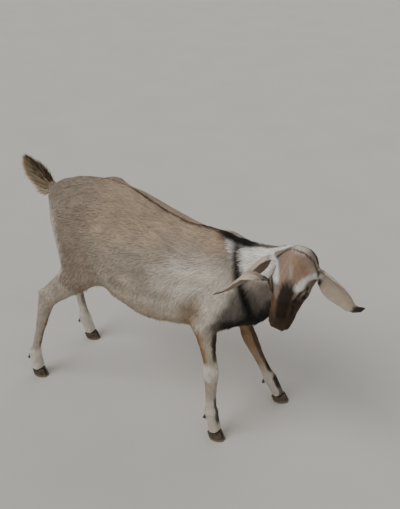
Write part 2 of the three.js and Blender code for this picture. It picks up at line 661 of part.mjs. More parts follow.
// The origin goes on the floor, under the middle of the whole animal
const box = new THREE.Box3().setFromObject(root);
const middle = box.getCenter(vec(0, 0, 0));
root.position.set(-middle.x, -middle.y, -box.min.z);
export default root;
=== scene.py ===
# %% [markdown]
# # A standing Nubian goat
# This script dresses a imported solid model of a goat: one skin over the flesh, a coat of small tufts
# that lie along it, wet eyes and horn feet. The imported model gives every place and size.

# %% Load the solid model
import math
import bpy
import numpy as np
from numpy.linalg import norm
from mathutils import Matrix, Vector
from mathutils.bvhtree import BVHTree


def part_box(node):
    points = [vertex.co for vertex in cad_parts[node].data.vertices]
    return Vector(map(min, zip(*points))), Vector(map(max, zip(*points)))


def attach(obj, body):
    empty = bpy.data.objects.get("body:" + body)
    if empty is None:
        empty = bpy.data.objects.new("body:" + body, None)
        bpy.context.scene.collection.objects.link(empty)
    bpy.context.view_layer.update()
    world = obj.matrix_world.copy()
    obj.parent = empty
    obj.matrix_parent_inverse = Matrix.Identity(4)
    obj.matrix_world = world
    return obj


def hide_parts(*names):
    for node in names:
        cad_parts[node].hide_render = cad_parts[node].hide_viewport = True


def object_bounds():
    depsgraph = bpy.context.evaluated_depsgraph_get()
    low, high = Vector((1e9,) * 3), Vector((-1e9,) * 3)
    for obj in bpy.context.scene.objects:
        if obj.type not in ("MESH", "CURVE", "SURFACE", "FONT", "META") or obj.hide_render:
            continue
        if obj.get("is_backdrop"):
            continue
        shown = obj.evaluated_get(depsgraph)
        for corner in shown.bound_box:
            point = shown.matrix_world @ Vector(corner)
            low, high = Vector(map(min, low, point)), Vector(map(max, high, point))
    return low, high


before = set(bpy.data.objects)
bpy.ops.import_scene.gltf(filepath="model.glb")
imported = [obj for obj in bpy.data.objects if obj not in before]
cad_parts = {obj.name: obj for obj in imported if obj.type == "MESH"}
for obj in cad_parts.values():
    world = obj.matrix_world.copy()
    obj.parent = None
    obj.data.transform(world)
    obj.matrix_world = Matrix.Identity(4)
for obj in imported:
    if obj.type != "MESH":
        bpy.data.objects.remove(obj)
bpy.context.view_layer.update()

# %% [markdown]
# The animal was drawn with its zero on the floor under the right fore foot, +X forwards, +Y to its
# left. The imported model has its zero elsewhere, so one box corner of a known claw gives the shift.

# %% Places
CLAW_CORNER = Vector((-0.029964, -0.138360, 0.0))  # of the right fore foot's inner claw, as drawn
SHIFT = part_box("hoof_front_right_inner")[0] - CLAW_CORNER


def place(x, y, z):
    """A point of the drawing, in metres, in the model's own coordinates."""
    return Vector((x, y, z)) + SHIFT


# The head's own frame: x to the nose, y to the goat's left, z out of the forehead
NOSE = Vector((-0.182, -0.126, -0.975)).normalized()
CROWN = NOSE.cross(Vector((0.981, 0.008, -0.184))).normalized()
LEFT = CROWN.cross(NOSE)
HEAD_AT = place(0.215, -0.141, 0.644)
HEAD = np.array([NOSE, LEFT, CROWN])


def in_head(points):
    """Points in the head's own frame, in metres."""
    return (np.asarray(points) - np.array(HEAD_AT)) @ HEAD.T


def from_head(points):
    return np.asarray(points) @ HEAD + np.array(HEAD_AT)


# %% Small helpers
def deselect():
    bpy.ops.object.select_all(action="DESELECT")


def activate(obj):
    deselect()
    obj.select_set(True)
    bpy.context.view_layer.objects.active = obj


def join(objects, name):
    """One object from several."""
    deselect()
    for obj in objects:
        obj.select_set(True)
    bpy.context.view_layer.objects.active = objects[0]
    bpy.ops.object.join()
    objects[0].name = name
    return objects[0]


def read(items, key, width, kind=np.float32):
    """One property of all the items of a mesh, a row for each."""
    values = np.empty(len(items) * width, kind)
    items.foreach_get(key, values)
    return values.reshape(-1, width)


def points_of(mesh):
    return read(mesh.vertices, "co", 3).astype(float)


def normals_of(mesh):
    return read(mesh.vertex_normals, "vector", 3).astype(float)


def set_points(mesh, points):
    mesh.vertices.foreach_set("co", np.asarray(points, np.float32).ravel())
    mesh.update()


def edges_of(mesh):
    return read(mesh.edges, "vertices", 2, np.int32)


def apply(obj, kind, **settings):
    """Adds a modifier with its settings and applies it."""
    activate(obj)
    modifier = obj.modifiers.new(kind.title(), kind)
    for key, value in settings.items():
        setattr(modifier, key, value)
    bpy.ops.object.modifier_apply(modifier=modifier.name)


def step(x, low, high):
    """0 below low, 1 above high, smooth between."""
    t = np.clip((np.asarray(x) - low) / (high - low), 0, 1)
    return t * t * (3 - 2 * t)


def near_line(points, line, width, soft=0.5):
    """1 on a bent line, 0 a width away from it."""
    line = [np.array(p, float) for p in line]
    best = np.full(len(points), 9.0)
    for a, b in zip(line, line[1:]):
        t = np.clip((points - a) @ (b - a) / ((b - a) @ (b - a)), 0, 1)
        best = np.minimum(best, norm(points - a - t[:, None] * (b - a), axis=1))
    return 1 - step(best, width * (1 - soft), width * (1 + soft))


def spread(values, pairs, count, rounds, weight=1.0, share=0.5):
    """Evens values out over a mesh: each round moves them towards the mean of their neighbours."""
    a, b = pairs.T
    degree = np.maximum(np.bincount(a, minlength=count) + np.bincount(b, minlength=count), 1)
    values = values.copy()
    weight = np.asarray(weight)
    for _ in range(rounds):
        for k in range(values.shape[1]):
            v = values[:, k]
            mean = np.bincount(a, v[b], count) + np.bincount(b, v[a], count)
            values[:, k] += share * weight * (mean / degree - v)
    return values


# %% [markdown]
# ## The skin
# The flesh is packed as fourteen solids with thin cuts between them. Copies of them are swollen until
# they touch and remeshed into one closed surface: coarse for the body, fine for the head and ears.
# Both are cut by one plane through the neck and bridged there, so that no seam is left.

# %% Copies of the flesh
HEAD_NODES = ["head", "neck", "ear_left", "ear_right", "eye_left", "eye_right"]
BODY_NODES = [
    "torso", "neck", "head",
    *[f"{part}_front_{side}" for part in ("forearm", "cannon") for side in ("left", "right")],
    *[f"{part}_hind_{side}" for part in ("gaskin", "cannon") for side in ("left", "right")],
]
FLESH = sorted((set(HEAD_NODES) | set(BODY_NODES)) - {"eye_left", "eye_right"}) + ["tail"]


def copy_of(names, swell, name):
    """One object from copies of solids, each swollen along its normals."""
    deselect()
    copies = []
    for node in names:
        made = bpy.data.objects.new(node + "_copy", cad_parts[node].data.copy())
        bpy.context.scene.collection.objects.link(made)
        apply(made, "WELD", merge_threshold=1e-5)
        apply(made, "DISPLACE", strength=swell, mid_level=0)
        copies.append(made)
    return join(copies, name)


# The tail's core runs on inside its locks: rings of a tapered tube along the dock
TAIL_ASIDE = 0.0025  # how far each ring stands to the left of the one before
TAIL_LINE = [(-0.670, 0.681, 0.019), (-0.700, 0.695, 0.017), (-0.730, 0.711, 0.015),
             (-0.755, 0.727, 0.011), (-0.777, 0.744, 0.006)]  # x, height, radius


def tail_core():
    deselect()
    x, z, radius = TAIL_LINE[0]
    bpy.ops.mesh.primitive_circle_add(vertices=12, radius=radius, fill_type="NGON", location=place(x, 0, z))
    core = bpy.context.object
    bpy.ops.object.transform_apply(location=True)
    bpy.ops.object.mode_set(mode="EDIT")
    for (x0, z0, r0), (x1, z1, r1) in zip(TAIL_LINE, TAIL_LINE[1:]):
        bpy.ops.mesh.extrude_region_move(
            TRANSFORM_OT_translate={"value": (x1 - x0, TAIL_ASIDE, z1 - z0)})
        bpy.ops.transform.resize(value=(r1 / r0,) * 3)
    bpy.ops.object.mode_set(mode="OBJECT")
    return core


BODY_VOXEL, HEAD_VOXEL = 0.0068, 0.0026
BODY_SWELL, HEAD_SWELL = 0.0003, 0.0007  # enough to close the cuts between the solids
body = join([copy_of(BODY_NODES, BODY_SWELL, "body"), tail_core()], "body")
apply(body, "REMESH", mode="VOXEL", voxel_size=BODY_VOXEL)
face = copy_of(HEAD_NODES, HEAD_SWELL, "face")
apply(face, "REMESH", mode="VOXEL", voxel_size=HEAD_VOXEL)
print("body", len(body.data.polygons), "faces, head", len(face.data.polygons))

# %% [markdown]
# Each point of the skin asks which solid it came from. That tells how deep the coat is there, how far
# the facets of the solid may be smoothed away, and later which way the hair lies.

# %% Which solid a point belongs to
flesh_points, flesh_faces, face_node = [], [], []
for number, name in enumerate(FLESH):
    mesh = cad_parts[name].data
    first = sum(len(p) for p in flesh_points)
    flesh_points.append(points_of(mesh))
    flesh_faces.append(read(mesh.loops, "vertex_index", 1, np.int32).reshape(-1, 3) + first)
    face_node += [number] * len(mesh.polygons)
flesh_tree = BVHTree.FromPolygons(np.vstack(flesh_points).tolist(), np.vstack(flesh_faces).tolist())
face_node = np.array(face_node)
kinds = np.array([name.split("_")[0] for name in FLESH])


def part_of(points):
    """For each point, the number in FLESH of the nearest solid."""
    return face_node[[flesh_tree.find_nearest(Vector(p))[2] for p in points]]


# %% Cut both through the neck and bridge them
NECK_CUT, NECK_AWAY = place(0.150, -0.012, 0.625), Vector((0.85, -0.35, 0.40)).normalized()


def keep_side(obj, forwards):
    """Cuts an object by the plane through the neck and keeps one side of it, and both ears whole."""
    mesh = obj.data
    mesh.polygons.foreach_set("select", np.ones(len(mesh.polygons), bool))
    if forwards:
        in_ear = kinds[part_of(points_of(mesh))] == "ear"
        corners = read(mesh.loops, "vertex_index", 1, np.int32).reshape(-1, 4)
        mesh.polygons.foreach_set("select", ~in_ear[corners].any(axis=1))
    activate(obj)
    bpy.ops.object.mode_set(mode="EDIT")
    bpy.ops.mesh.select_mode(type="FACE")
    bpy.ops.mesh.bisect(
        plane_co=NECK_CUT, plane_no=NECK_AWAY, clear_inner=forwards, clear_outer=not forwards)
    bpy.ops.object.mode_set(mode="OBJECT")


keep_side(body, forwards=False)
keep_side(face, forwards=True)
skin = join([body, face], "skin")
activate(skin)
bpy.ops.object.mode_set(mode="EDIT")
bpy.ops.mesh.select_mode(type="EDGE")
bpy.ops.mesh.select_all(action="DESELECT")
bpy.ops.mesh.select_non_manifold()
bpy.ops.mesh.bridge_edge_loops()
bpy.ops.mesh.select_all(action="SELECT")
bpy.ops.mesh.normals_make_consistent(inside=False)
bpy.ops.mesh.select_all(action="DESELECT")
bpy.ops.mesh.select_non_manifold()
bpy.ops.object.mode_set(mode="OBJECT")
open_edges = sum(e.select for e in skin.data.edges)
print("skin", len(skin.data.polygons), "faces,", open_edges, "open edges")

# %% Smooth the facets away, then lay the skin under the coat by its depth
LAY = {  # for each kind of part: how far its facets are evened out, and the depth of its coat in metres
    "torso": (1.0, 0.0045), "neck": (0.9, 0.0042), "head": (0.30, 0.0018), "ear": (0.08, 0.0009),
    "tail": (0.2, 0.001), "forearm": (0.45, 0.0030), "gaskin": (0.6, 0.0036), "cannon": (0.35, 0.0020),
}
RIDGE_HIGH, RIDGE_WIDE = 0.0085, 0.015  # of the spine
LOIN_DEEP, LOIN_OUT, LOIN_WIDE = 0.0075, 0.058, 0.030  # the hollows beside it
skin_points = points_of(skin.data)
skin_kind = kinds[part_of(skin_points)]
skin_edges = edges_of(skin.data)
count = len(skin_points)
lay = np.array([LAY[kind] for kind in skin_kind])
evenness = spread(lay[:, :1], skin_edges, count, 12)[:, 0]
depth = spread(lay[:, 1:], skin_edges, count, 14)[:, 0]
for _ in range(14):  # a push back after each pull keeps the legs and the neck from thinning
    skin_points = spread(skin_points, skin_edges, count, 1, evenness, 0.62)
    skin_points = spread(skin_points, skin_edges, count, 1, evenness, -0.60)
# A lean goat's spine stands up as a ridge, and the back falls away to both sides of it
x, y, z = (skin_points - np.array(SHIFT)).T
back = (skin_kind == "torso") * step(z, 0.60, 0.64) * step(x, -0.64, -0.56) * step(-x, 0.0, 0.06)
skin_points[:, 2] += back * (RIDGE_HIGH * np.exp(-(y / RIDGE_WIDE) ** 2)
                             - LOIN_DEEP * np.exp(-((np.abs(y) - LOIN_OUT) / LOIN_WIDE) ** 2))
set_points(skin.data, skin_points)
skin_points = skin_points - normals_of(skin.data) * depth[:, None]
set_points(skin.data, skin_points)
print("coat from", depth.min(), "to", depth.max())

# %% [markdown]
# ## The head
# A goat's eye is a ball some 27 mm across behind an almond opening that runs along the head. The lid
# stands a little proud of the ball and folds away from it. The nostril is a comma under a raised wing,
# the mouth a long narrow line. The faces there are divided first, then each point is moved by where it
# lies from the eye, the nostril or the mouth line, as a sculptor's hand would press it.

# %% Finer faces round the eyes and on the muzzle
EYE_RADIUS = 0.0135
HEAD_REACH = 0.175  # from the head frame's zero to past the nose
EYES = {side: np.array([0.002, 0.0405 * side, 0.006]) for side in (1, -1)}  # in the head's frame
EYE_OUT = {side: np.array([0.12, side, 0.2]) / math.hypot(0.12, 1, 0.2) for side in (1, -1)}


def divide(obj, wanted):
    """Cuts in four each face whose corners are all wanted."""
    obj.data.polygons.foreach_set("select", np.zeros(len(obj.data.polygons), bool))
    obj.data.edges.foreach_set("select", np.zeros(len(obj.data.edges), bool))
    obj.data.vertices.foreach_set("select", wanted)
    activate(obj)
    bpy.ops.object.mode_set(mode="EDIT")
    bpy.ops.mesh.select_mode(type="VERT")
    bpy.ops.mesh.subdivide(number_cuts=1, smoothness=0)
    bpy.ops.object.mode_set(mode="OBJECT")


for reach, muzzle in ((0.027, 0.116), (0.021, 0.2)):
    at = in_head(points_of(skin.data))
    wanted = (at[:, 0] > muzzle) & (norm(at, axis=1) < HEAD_REACH)
    for side in (1, -1):
        wanted |= (norm(at - EYES[side], axis=1) < reach) & (at[:, 1] * side > 0.030)
    divide(skin, wanted)
print("skin", len(skin.data.polygons), "faces")

# %% Eyelids, nostrils, mouth
def eye_axes(side):
    """Along an eye's opening towards the nose, and across it towards the brow."""
    along = np.array([1, 0, 0.22]) - EYE_OUT[side] * (np.array([1, 0, 0.22]) @ EYE_OUT[side])
    along /= norm(along)
    return along, np.cross(along, EYE_OUT[side]) * side


def eye_place(at, side):
    """Distance from an eye's centre, and how far from the middle of the almond: 1 is the lid's edge."""
    away = at - EYES[side]
    out = EYE_OUT[side]
    along, up = eye_axes(side)
    distance = norm(away, axis=1)
    u, v = away @ along / EYE_RADIUS, away @ up / EYE_RADIUS
    v = v + 0.10 * u * u  # the lower lid is flatter than the upper one
    e = np.abs(v) / np.where(v > 0, 0.56, 0.44) + (u / 0.92) ** 2
    return distance, np.where(away @ out > 0, e, 9.0), v, away


def press(at, centre, radius, way):
    """Moves points near a centre along a way, most at its middle."""
    near = 1 - step(norm((at - np.array(centre)) / np.array(radius), axis=1), 0.0, 1.0)
    return at + near[:, None] * np.array(way)


def mouth_line(at, width=0.0014):
    """How near each point is to the line of the mouth, 0 to 1: low round the front, lower at its corners."""
    x, y, z = at.T
    turned = np.abs(np.arctan2(y, x - 0.082))
    near = np.exp(-((z + 0.043 + 0.005 * turned) / width) ** 2)
    return near * (1 - step(turned, 1.25, 1.42)) * (x > 0.082) * (norm(at, axis=1) < HEAD_REACH)


def nostril(side):
    """The comma of a nostril, from its round end near the middle up to its slit."""
    return [(x, y * side, z) for x, y, z in (
        (0.1510, 0.0115, -0.0250), (0.1490, 0.0185, -0.0185), (0.1430, 0.0265, -0.0095))]


at = in_head(points_of(skin.data))
normal = normals_of(skin.data) @ HEAD.T
for side in (1, -1):
    distance, e, v, away = eye_place(at, side)
    lid = EYE_RADIUS + 0.0015 + 0.0006 * step(v, 0, 0.3)
    goal = np.where(e < 1, EYE_RADIUS - 0.0022 + (lid - EYE_RADIUS + 0.0022) * step(e, 0.80, 0.98), lid)
    fold = 0.0010 * np.exp(-((e - 1.75) / 0.16) ** 2) - 0.0009 * np.exp(-((e - 2.15) / 0.18) ** 2)
    share = (1 - step(e, 1.45, 3.0)) * (e < 8)
    moved = distance + share * (goal + fold - distance)
    at = EYES[side] + away * (moved / np.maximum(distance, 1e-6))[:, None]
    # Nostril: a raised wing, the slit under it, and the deep round end of the comma
    at = press(at, (0.148, 0.0200 * side, -0.0080), (0.012, 0.011, 0.011), (0.0022, 0.0016 * side, 0.0014))
    slit = near_line(at, nostril(side), 0.0034, 0.8)
    pit = near_line(at, nostril(side)[:2], 0.0046, 0.8)
    at = at + np.outer(0.0042 * slit + 0.0045 * pit, (-0.85, -0.40 * side, 0))
    # The bone over the eye, the hollow before it, the cheek's edge
    at = press(at, (-0.006, 0.043 * side, 0.024), (0.030, 0.020, 0.015), (-0.0006, 0.0046 * side, 0.0016))
    at = press(at, (0.034, 0.031 * side, 0.012), (0.026, 0.014, 0.018), (0, -0.0022 * side, -0.0004))
    at = press(at, (0.016, 0.047 * side, -0.028), (0.040, 0.016, 0.020), (0, 0.0026 * side, 0))
lips = mouth_line(at, 0.0060) * 0.0011 - mouth_line(at) * 0.0034
x, y, z = at.T
groove = np.exp(-(y / 0.0012) ** 2) * step(x, 0.13, 0.14) * step(-z, 0.026, 0.030) * step(z, -0.043, -0.040)
at = at + normal * (lips - 0.0012 * groove)[:, None]
set_points(skin.data, from_head(at))
activate(skin)
bpy.ops.object.shade_smooth()
print("lids, nostrils and a mouth pressed into", len(at), "points")

# %% [markdown]
# ## Markings
# The coat's colours are painted by place: a dark stripe down the spine that widens to a black patch at
# the withers, a black line before the shoulder, cream on the lower ribs, a nearly black brisket, dark
# lines down the fore legs, and on the face a white patch over each eye and a dark bridge below them. One
# function gives the colour of any point, so the skin and each tuft on it carry the same markings.

# %% Colours
def linear(code):
    """A hex colour turned linear."""
    values = [int(code[i:i + 2], 16) / 255 for i in (1, 3, 5)]
    return np.array([v / 12.92 if v <= 0.04045 else ((v + 0.055) / 1.055) ** 2.4 for v in values])


HUES = {
    # the trunk
    "back": "#a38f7a", "haunch": "#8f8172", "flank": "#9e9182", "ribs": "#c3b6a4", "shoulder": "#d0c7b9",
    "belly": "#a3957d", "rear": "#d9d1c4", "stripe": "#4a3827", "black": "#120f0d",
    # the neck
    "neck": "#eee9e0", "throat": "#a3978b", "brisket": "#332d28",
    # the legs
    "forearm": "#a08c72", "tan": "#94724c", "elbow": "#7f6646", "knee": "#d6cec2", "cannon": "#b3a696",
    "gaskin": "#b5a798", "pastern": "#d4ccc0",
    # the face
    "forehead": "#a58c7a", "bridge": "#2c2219", "side": "#775d45", "far_side": "#4d3f33", "white": "#efece7",
    "cheek": "#9a897b", "jaw": "#55453a", "muzzle": "#46382c", "chin": "#8a7963", "nose": "#2b231e",
    "poll": "#cbc0b1",
    # the ears and the tail
    "ear": "#c6b6a4", "ear_inside": "#9a8878", "ear_edge": "#261d16", "tail_top": "#38291a",
    "tail_mid": "#7d6c54", "tail_low": "#bcae96",
}
HUES = {name: linear(code) for name, code in HUES.items()}


def brush(colour):
    """A function that moves these colours towards a named one, each by its own amount from 0 to 1."""
    def paint(name, amount):
        colour[:] = colour + (HUES[name] - colour) * np.clip(amount, 0, 1)[:, None]
    return paint


WAVES, WAVES_HIGH = 6, 3.2  # sines added up, and what they seldom go beyond


def wobble(points, size, seed):
    """A smooth random value, about -1 to 1, that changes over a size in metres."""
    draw = np.random.default_rng(seed)
    total = np.zeros(len(points))
    for _ in range(WAVES):
        way = draw.normal(size=3)
        way *= (0.7 + 0.6 * draw.random()) * 2 * math.pi / size / norm(way)
        total += np.sin(points @ way + draw.random() * 7)
    return total / WAVES_HIGH


# %% The body's markings
def body_colours(at, normal, kind):
    """Colours of points given in the drawing's own metres."""
    x, y, z = at.T
    ahead, aside, above = normal.T  # how far each point faces that way
    colour = np.tile(HUES["flank"], (len(at), 1))
    paint = brush(colour)
    rough = wobble(at, 0.07, 1)
    fine = wobble(at, 0.018, 2)
    paint("back", step(z + 0.02 * rough, 0.60, 0.69))
    paint("haunch", step(-x + 0.03 * rough, 0.40, 0.52))
    paint("ribs", 0.8 * step(-z + 0.015 * rough, -0.56, -0.46) * step(x, -0.50, -0.36))
    paint("shoulder", 0.8 * step(x + 0.02 * rough, -0.24, -0.12) * step(-z, -0.66, -0.58))
    paint("belly", step(-above, 0.3, 0.8) * step(-z, -0.52, -0.44))
    behind = step(-ahead + 0.1 * fine, 0.25, 0.60) * step(-x, 0.53, 0.60)
    paint("rear", 0.9 * behind * step(-z, -0.72, -0.62))
    for side in (1, -1):
        elbow = [(-0.100, 0.13 * side, 0.47), (-0.100, 0.12 * side, 0.42), (-0.085, 0.115 * side, 0.34)]
        paint("elbow", 0.85 * near_line(at + 0.008 * rough[:, None], elbow, 0.034, 0.9))
    paint("tan", 0.15 * near_line(at, [(-0.06, -0.03, 0.68), (-0.06, 0.03, 0.68)], 0.05, 0.9))
    folded = at * (1, 0, 1) + np.outer(np.abs(y), (0, 1, 0))
    leg = np.isin(kind, ("forearm", "gaskin", "cannon")) | (z < 0.40)
    fore = leg & (x > -0.35)
    front = step(ahead + 0.04 * fine, 0.80 - 0.10 * (y > 0), 0.93 - 0.10 * (y > 0))
    paint("forearm", fore * 1.0)
    paint("ribs", fore * 0.75 * (y < 0) * step(-aside, 0.2, 0.7) * step(ahead, -0.35, 0.1))
    paint("tan", fore * 0.8 * step(-ahead + 0.1 * fine, -0.30, 0.10) * step(z, 0.22, 0.30))
    paint("black", fore * 0.9 * front * step(z, 0.28, 0.31))
    paint("knee", fore * step(-z + 0.006 * fine, -0.292, -0.278) * step(z, 0.21, 0.23) * (y < 0))
    paint("cannon", fore * step(-z, -0.22, -0.20))
    paint("knee", fore * 0.5 * step(-z, -0.16, -0.13))
    # Painted shade: the left fore leg is painted tan from the knee down, partly its own greyish tan and
    # partly painted shade on the leg that stands in shadow
    paint("tan", fore * 0.6 * (y > 0) * step(z, 0.10, 0.16) * step(-z, -0.34, -0.28))
    paint("black", fore * 0.85 * front * step(-z, -0.17, -0.14) * step(z, 0.05, 0.07))
    paint("black", fore * 0.75 * front * step(-z, -0.32, -0.28) * (y > 0))
    hind = leg & (x <= -0.35)
    paint("gaskin", hind * 1.0)
    paint("rear", hind * 0.6 * step(y, -0.02, 0.02))
    paint("stripe", hind * 0.6 * front * step(-z, -0.30, -0.26))
    paint("pastern", hind * step(-z + 0.02 * rough, -0.15, -0.10))
    # The neck is pale above and darkens down to the brisket
    before = step(x + 0.9 * (z - 0.60), 0.0, 0.035)
    paint("neck", before * step(z, 0.57, 0.62) * (kind != "torso"))
    paint("throat", before * step(-z + 0.01 * rough, -0.615, -0.580))
    low = 0.575 - 0.045 * step(x, 0.070, 0.105)
    breast = step(x - 0.5 * (z - 0.50) + 0.014 * rough, -0.015, 0.020) * ~leg
    paint("brisket", 0.85 * breast * step(low - z, -0.01, 0.05))
    under = step(-above + 0.1 * fine, 0.05, 0.45) * step(x, -0.02, 0.02)
    paint("black", under * step(-z, -0.53, -0.50) * ~leg)
    low_neck = step(x + 0.006 * fine, 0.055, 0.085) * step(-z + 0.01 * rough, -0.515, -0.480) * ~leg
    paint("black", 0.85 * low_neck)
    # Spine, withers and the line that runs down before the shoulder
    spine = np.interp(x, (-0.48, -0.30, -0.18, 0.0), (0.016, 0.014, 0.007, 0.0))
    stripe = 1 - step(np.abs(y - spine + 0.003 * fine), 0.007, 0.015)
    paint("stripe", 0.9 * stripe * (z > 0.62) * (above > 0))
    paint("black", near_line(folded + 0.004 * fine[:, None], [(-0.035, 0, 0.68), (0.035, 0.0, 0.668)], 0.026))
    paint("black", near_line(folded + 0.003 * fine[:, None], [
        (0.005, 0.02, 0.668), (0.012, 0.050, 0.635), (0.033, 0.081, 0.597), (0.058, 0.100, 0.555),
        (0.078, 0.112, 0.515), (0.085, 0.090, 0.47)], 0.0135, 0.7))
    return colour * (1 + 0.10 * rough + 0.07 * fine)[:, None]


# %% The head's markings
CROWN_LINE = [
    (-0.068, -0.055, 0.009), (-0.077, -0.050, 0.011), (-0.099, -0.036, 0.004), (-0.108, -0.016, 0.010),
    (-0.113, 0.002, 0.013), (-0.107, 0.028, 0.007), (-0.094, 0.043, -0.004), (-0.075, 0.061, 0.005),
    (-0.044, 0.071, -0.014), (-0.036, 0.074, -0.013)]
BROW = [(-0.022, 0.034, 0.040), (-0.042, 0.043, 0.028), (-0.056, 0.058, 0.008), (-0.056, 0.068, -0.008)]
LID_LINE = [(-0.036, 0.074, -0.013), (-0.021, 0.052, 0.007), (-0.020, 0.047, 0.025), (-0.011, 0.041, 0.032),
            (0.004, 0.036, 0.032), (0.022, 0.032, 0.030), (0.059, 0.030, 0.004), (0.087, 0.030, -0.006)]
LID_SHADE = [(-0.018, 0.050, 0.014), (0.004, 0.042, 0.024), (0.022, 0.036, 0.024)]


def bare_nose(at):
    """1 on the bare leather between and round the nostrils."""
    x, y, z = at.T
    pad = 1 - step((y / 0.0175) ** 2 + ((z + 0.0215) / 0.0125) ** 2, 0.80, 1.15)
    groove = 1 - step(np.abs(y), 0.002, 0.005)
    pad = np.maximum(pad, groove) * step(z, -0.042, -0.040) * step(-z, 0.008, 0.011)
    for side in (1, -1):
        pad = np.maximum(pad, near_line(at, nostril(side), 0.0062, 0.3))
    return pad * (x > 0.125) * (norm(at, axis=1) < HEAD_REACH)


def head_colours(at):
    """Colours of points in the head's frame."""
    x, y, z = at.T
    folded = at * (1, 0, 1) + np.outer(np.abs(y), (0, 1, 0))
    fine = wobble(at, 0.012, 3)
    folded = folded + 0.0012 * fine[:, None]
    colour = np.tile(HUES["cheek"], (len(at), 1))
    paint = brush(colour)
    paint("jaw", step(-z, 0.028, 0.050))
    paint("side", step(x, 0.018, 0.048) * step(z, -0.040, -0.010))
    paint("far_side", step(x, 0.000, 0.030) * step(z, -0.045, -0.015) * step(y, 0.015, 0.028))
    paint("forehead", step(z, 0.008, 0.024) * step(-x, 0.005, 0.030))
    paint("tan", 0.35 * near_line(at, [(-0.092, 0.010, 0.03), (-0.070, 0.022, 0.036)], 0.016, 0.8))
    paint("poll", step(-x - 0.004 * fine, 0.104, 0.114))
    band = 0.0185 - 0.003 * step(x, 0.02, 0.08) - 0.005 * step(-x, 0.010, 0.050)
    bridge = step((band - np.abs(y - 0.007 + 0.002 * fine)) / 0.011, -0.5, 0.5) * step(z, -0.002, 0.010)
    paint("bridge", 0.95 * bridge * step(x + 0.007 * fine, -0.058, -0.010))
    paint("muzzle", 0.85 * step(x + 0.005 * fine, 0.080, 0.110) * step(z, -0.034, -0.012))
    paint("chin", step(x, 0.085, 0.100) * step(-z, 0.030, 0.042))
    paint("white", near_line(folded, BROW, 0.0118, 0.6))
    paint("poll", 0.45 * near_line(at, [(-0.074, -0.003, 0.037), (-0.048, 0.004, 0.044)], 0.0050, 0.9))
    paint("bridge", 0.95 * near_line(at, CROWN_LINE, 0.0032, 0.5))
    paint("bridge", 0.95 * near_line(folded, LID_LINE, 0.0036, 0.5))
    paint("bridge", 0.7 * near_line(folded, LID_SHADE, 0.010, 0.6))
    paint("nose", bare_nose(at))
    for side in (1, -1):
        distance, e, v, away = eye_place(at, side)
        paint("white", 0.4 * (1 - step(e, 1.6, 2.8)) * (distance < 0.034) * (v < 0))
        paint("bridge", 0.9 * (1 - step(e, 1.25 + 1.2 * (v > 0), 1.60 + 1.6 * (v > 0))) * (distance < 0.036))
    paint("nose", 0.8 * mouth_line(at))
    return colour * (1 + 0.10 * fine)[:, None]


# %% The ears' and the tail's colours
# The darkness of an ear's inside is partly its own colour and partly painted shade in its cup, more for the
# right ear
EARS = {  # for each ear: a line from its root to its tip, the way it opens, how dark its inside is
    "ear_right": ([(0.141, -0.128, 0.706), (0.083, -0.132, 0.636), (-0.011, -0.153, 0.558)],
                  (0.5, -0.3, -0.57), 0.8),
    "ear_left": ([(0.283, -0.123, 0.703), (0.356, -0.113, 0.635), (0.418, -0.100, 0.611)],
                 (-0.05, -0.95, -0.2), 0.3),
}


def ear_colours(at, normal, name):
    """Colours of points of one ear: darker inside it, partly its own colour and partly painted shade, and
    dark at its tip.
    """
    line, opening, shade = EARS[name]
    line = np.array(line)
    way = line[-1] - line[0]
    t = (at - line[0]) @ way / (way @ way)
    fine = wobble(at, 0.02, 4)
    colour = np.tile(HUES["ear"], (len(at), 1))
    paint = brush(colour)
    # Painted shade: the cupped inside is darkened, partly as its own colour and partly as the shade that lies
    # in the cup
    paint("ear_inside", step(normal @ opening / norm(opening) + 0.15 * fine, 0.05, 0.5) * shade)
    paint("ear_edge", step(t + 0.03 * fine, 0.82, 0.92) * 0.95)
    return colour * (1 + 0.08 * fine)[:, None]


def markings(points, normal, part):
    """The colour of each point, its normal and the number of its solid given."""
    at = points - np.array(SHIFT)
    kind = kinds[part]
    colour = body_colours(at, normal, kind)
    head = kind == "head"
    colour[head] = head_colours(in_head(points[head]))
    for name in EARS:
        mine = np.array(FLESH)[part] == name
        if mine.any():
            colour[mine] = ear_colours(at[mine], normal[mine], name)
    tail = kind == "tail"
    top = step(normal[tail, 2:], -0.3, 0.3)
    colour[tail] = HUES["tail_low"] * (1 - top) + HUES["tail_top"] * top
    return np.clip(colour, 0, 1)


def give_colours(mesh, name, colours):
    layer = mesh.attributes.new(name, "FLOAT_COLOR", "POINT")
    opaque = np.column_stack([colours, np.ones(len(colours))])
    layer.data.foreach_set("color", opaque.astype(np.float32).ravel())


skin_points = points_of(skin.data)
skin_normals = normals_of(skin.data)
skin_part = part_of(skin_points)
skin_edges = edges_of(skin.data)
count = len(skin_points)
skin_colours = spread(markings(skin_points, skin_normals, skin_part), skin_edges, count, 2)
give_colours(skin.data, "tint", skin_colours)
print("painted", count, "points")

# %% [markdown]
# ## Finishes
# Goat hair is a dull, fine fibre: little gloss, a rough look, and colour that changes from tuft to tuft.
# Hoof horn is harder and shows growth rings a few millimetres apart. An eye is wet and clear, with a
# flat, level pupil. Each is a small net of nodes on the piece's own coordinates or attributes.

# %% A node with its settings and links
def feed(made, values):
    """Gives a node its properties, and its sockets their values or sources, by name or number."""
    for key, value in values.items():
        if isinstance(value, bpy.types.Node):
            value = value.outputs[0]
        if isinstance(value, bpy.types.NodeSocket):
            made.id_data.links.new(value, made.inputs[key])
        elif isinstance(key, int) or key in made.inputs:
            made.inputs[key].default_value = value
        else:
            setattr(made, key, value)
    return made


def node(tree, kind, settings=None, **sources):
    """Adds a node with its settings and links. A node given as a source stands for its first output."""
    return feed(tree.nodes.new("ShaderNode" + kind), {**(settings or {}), **sources})


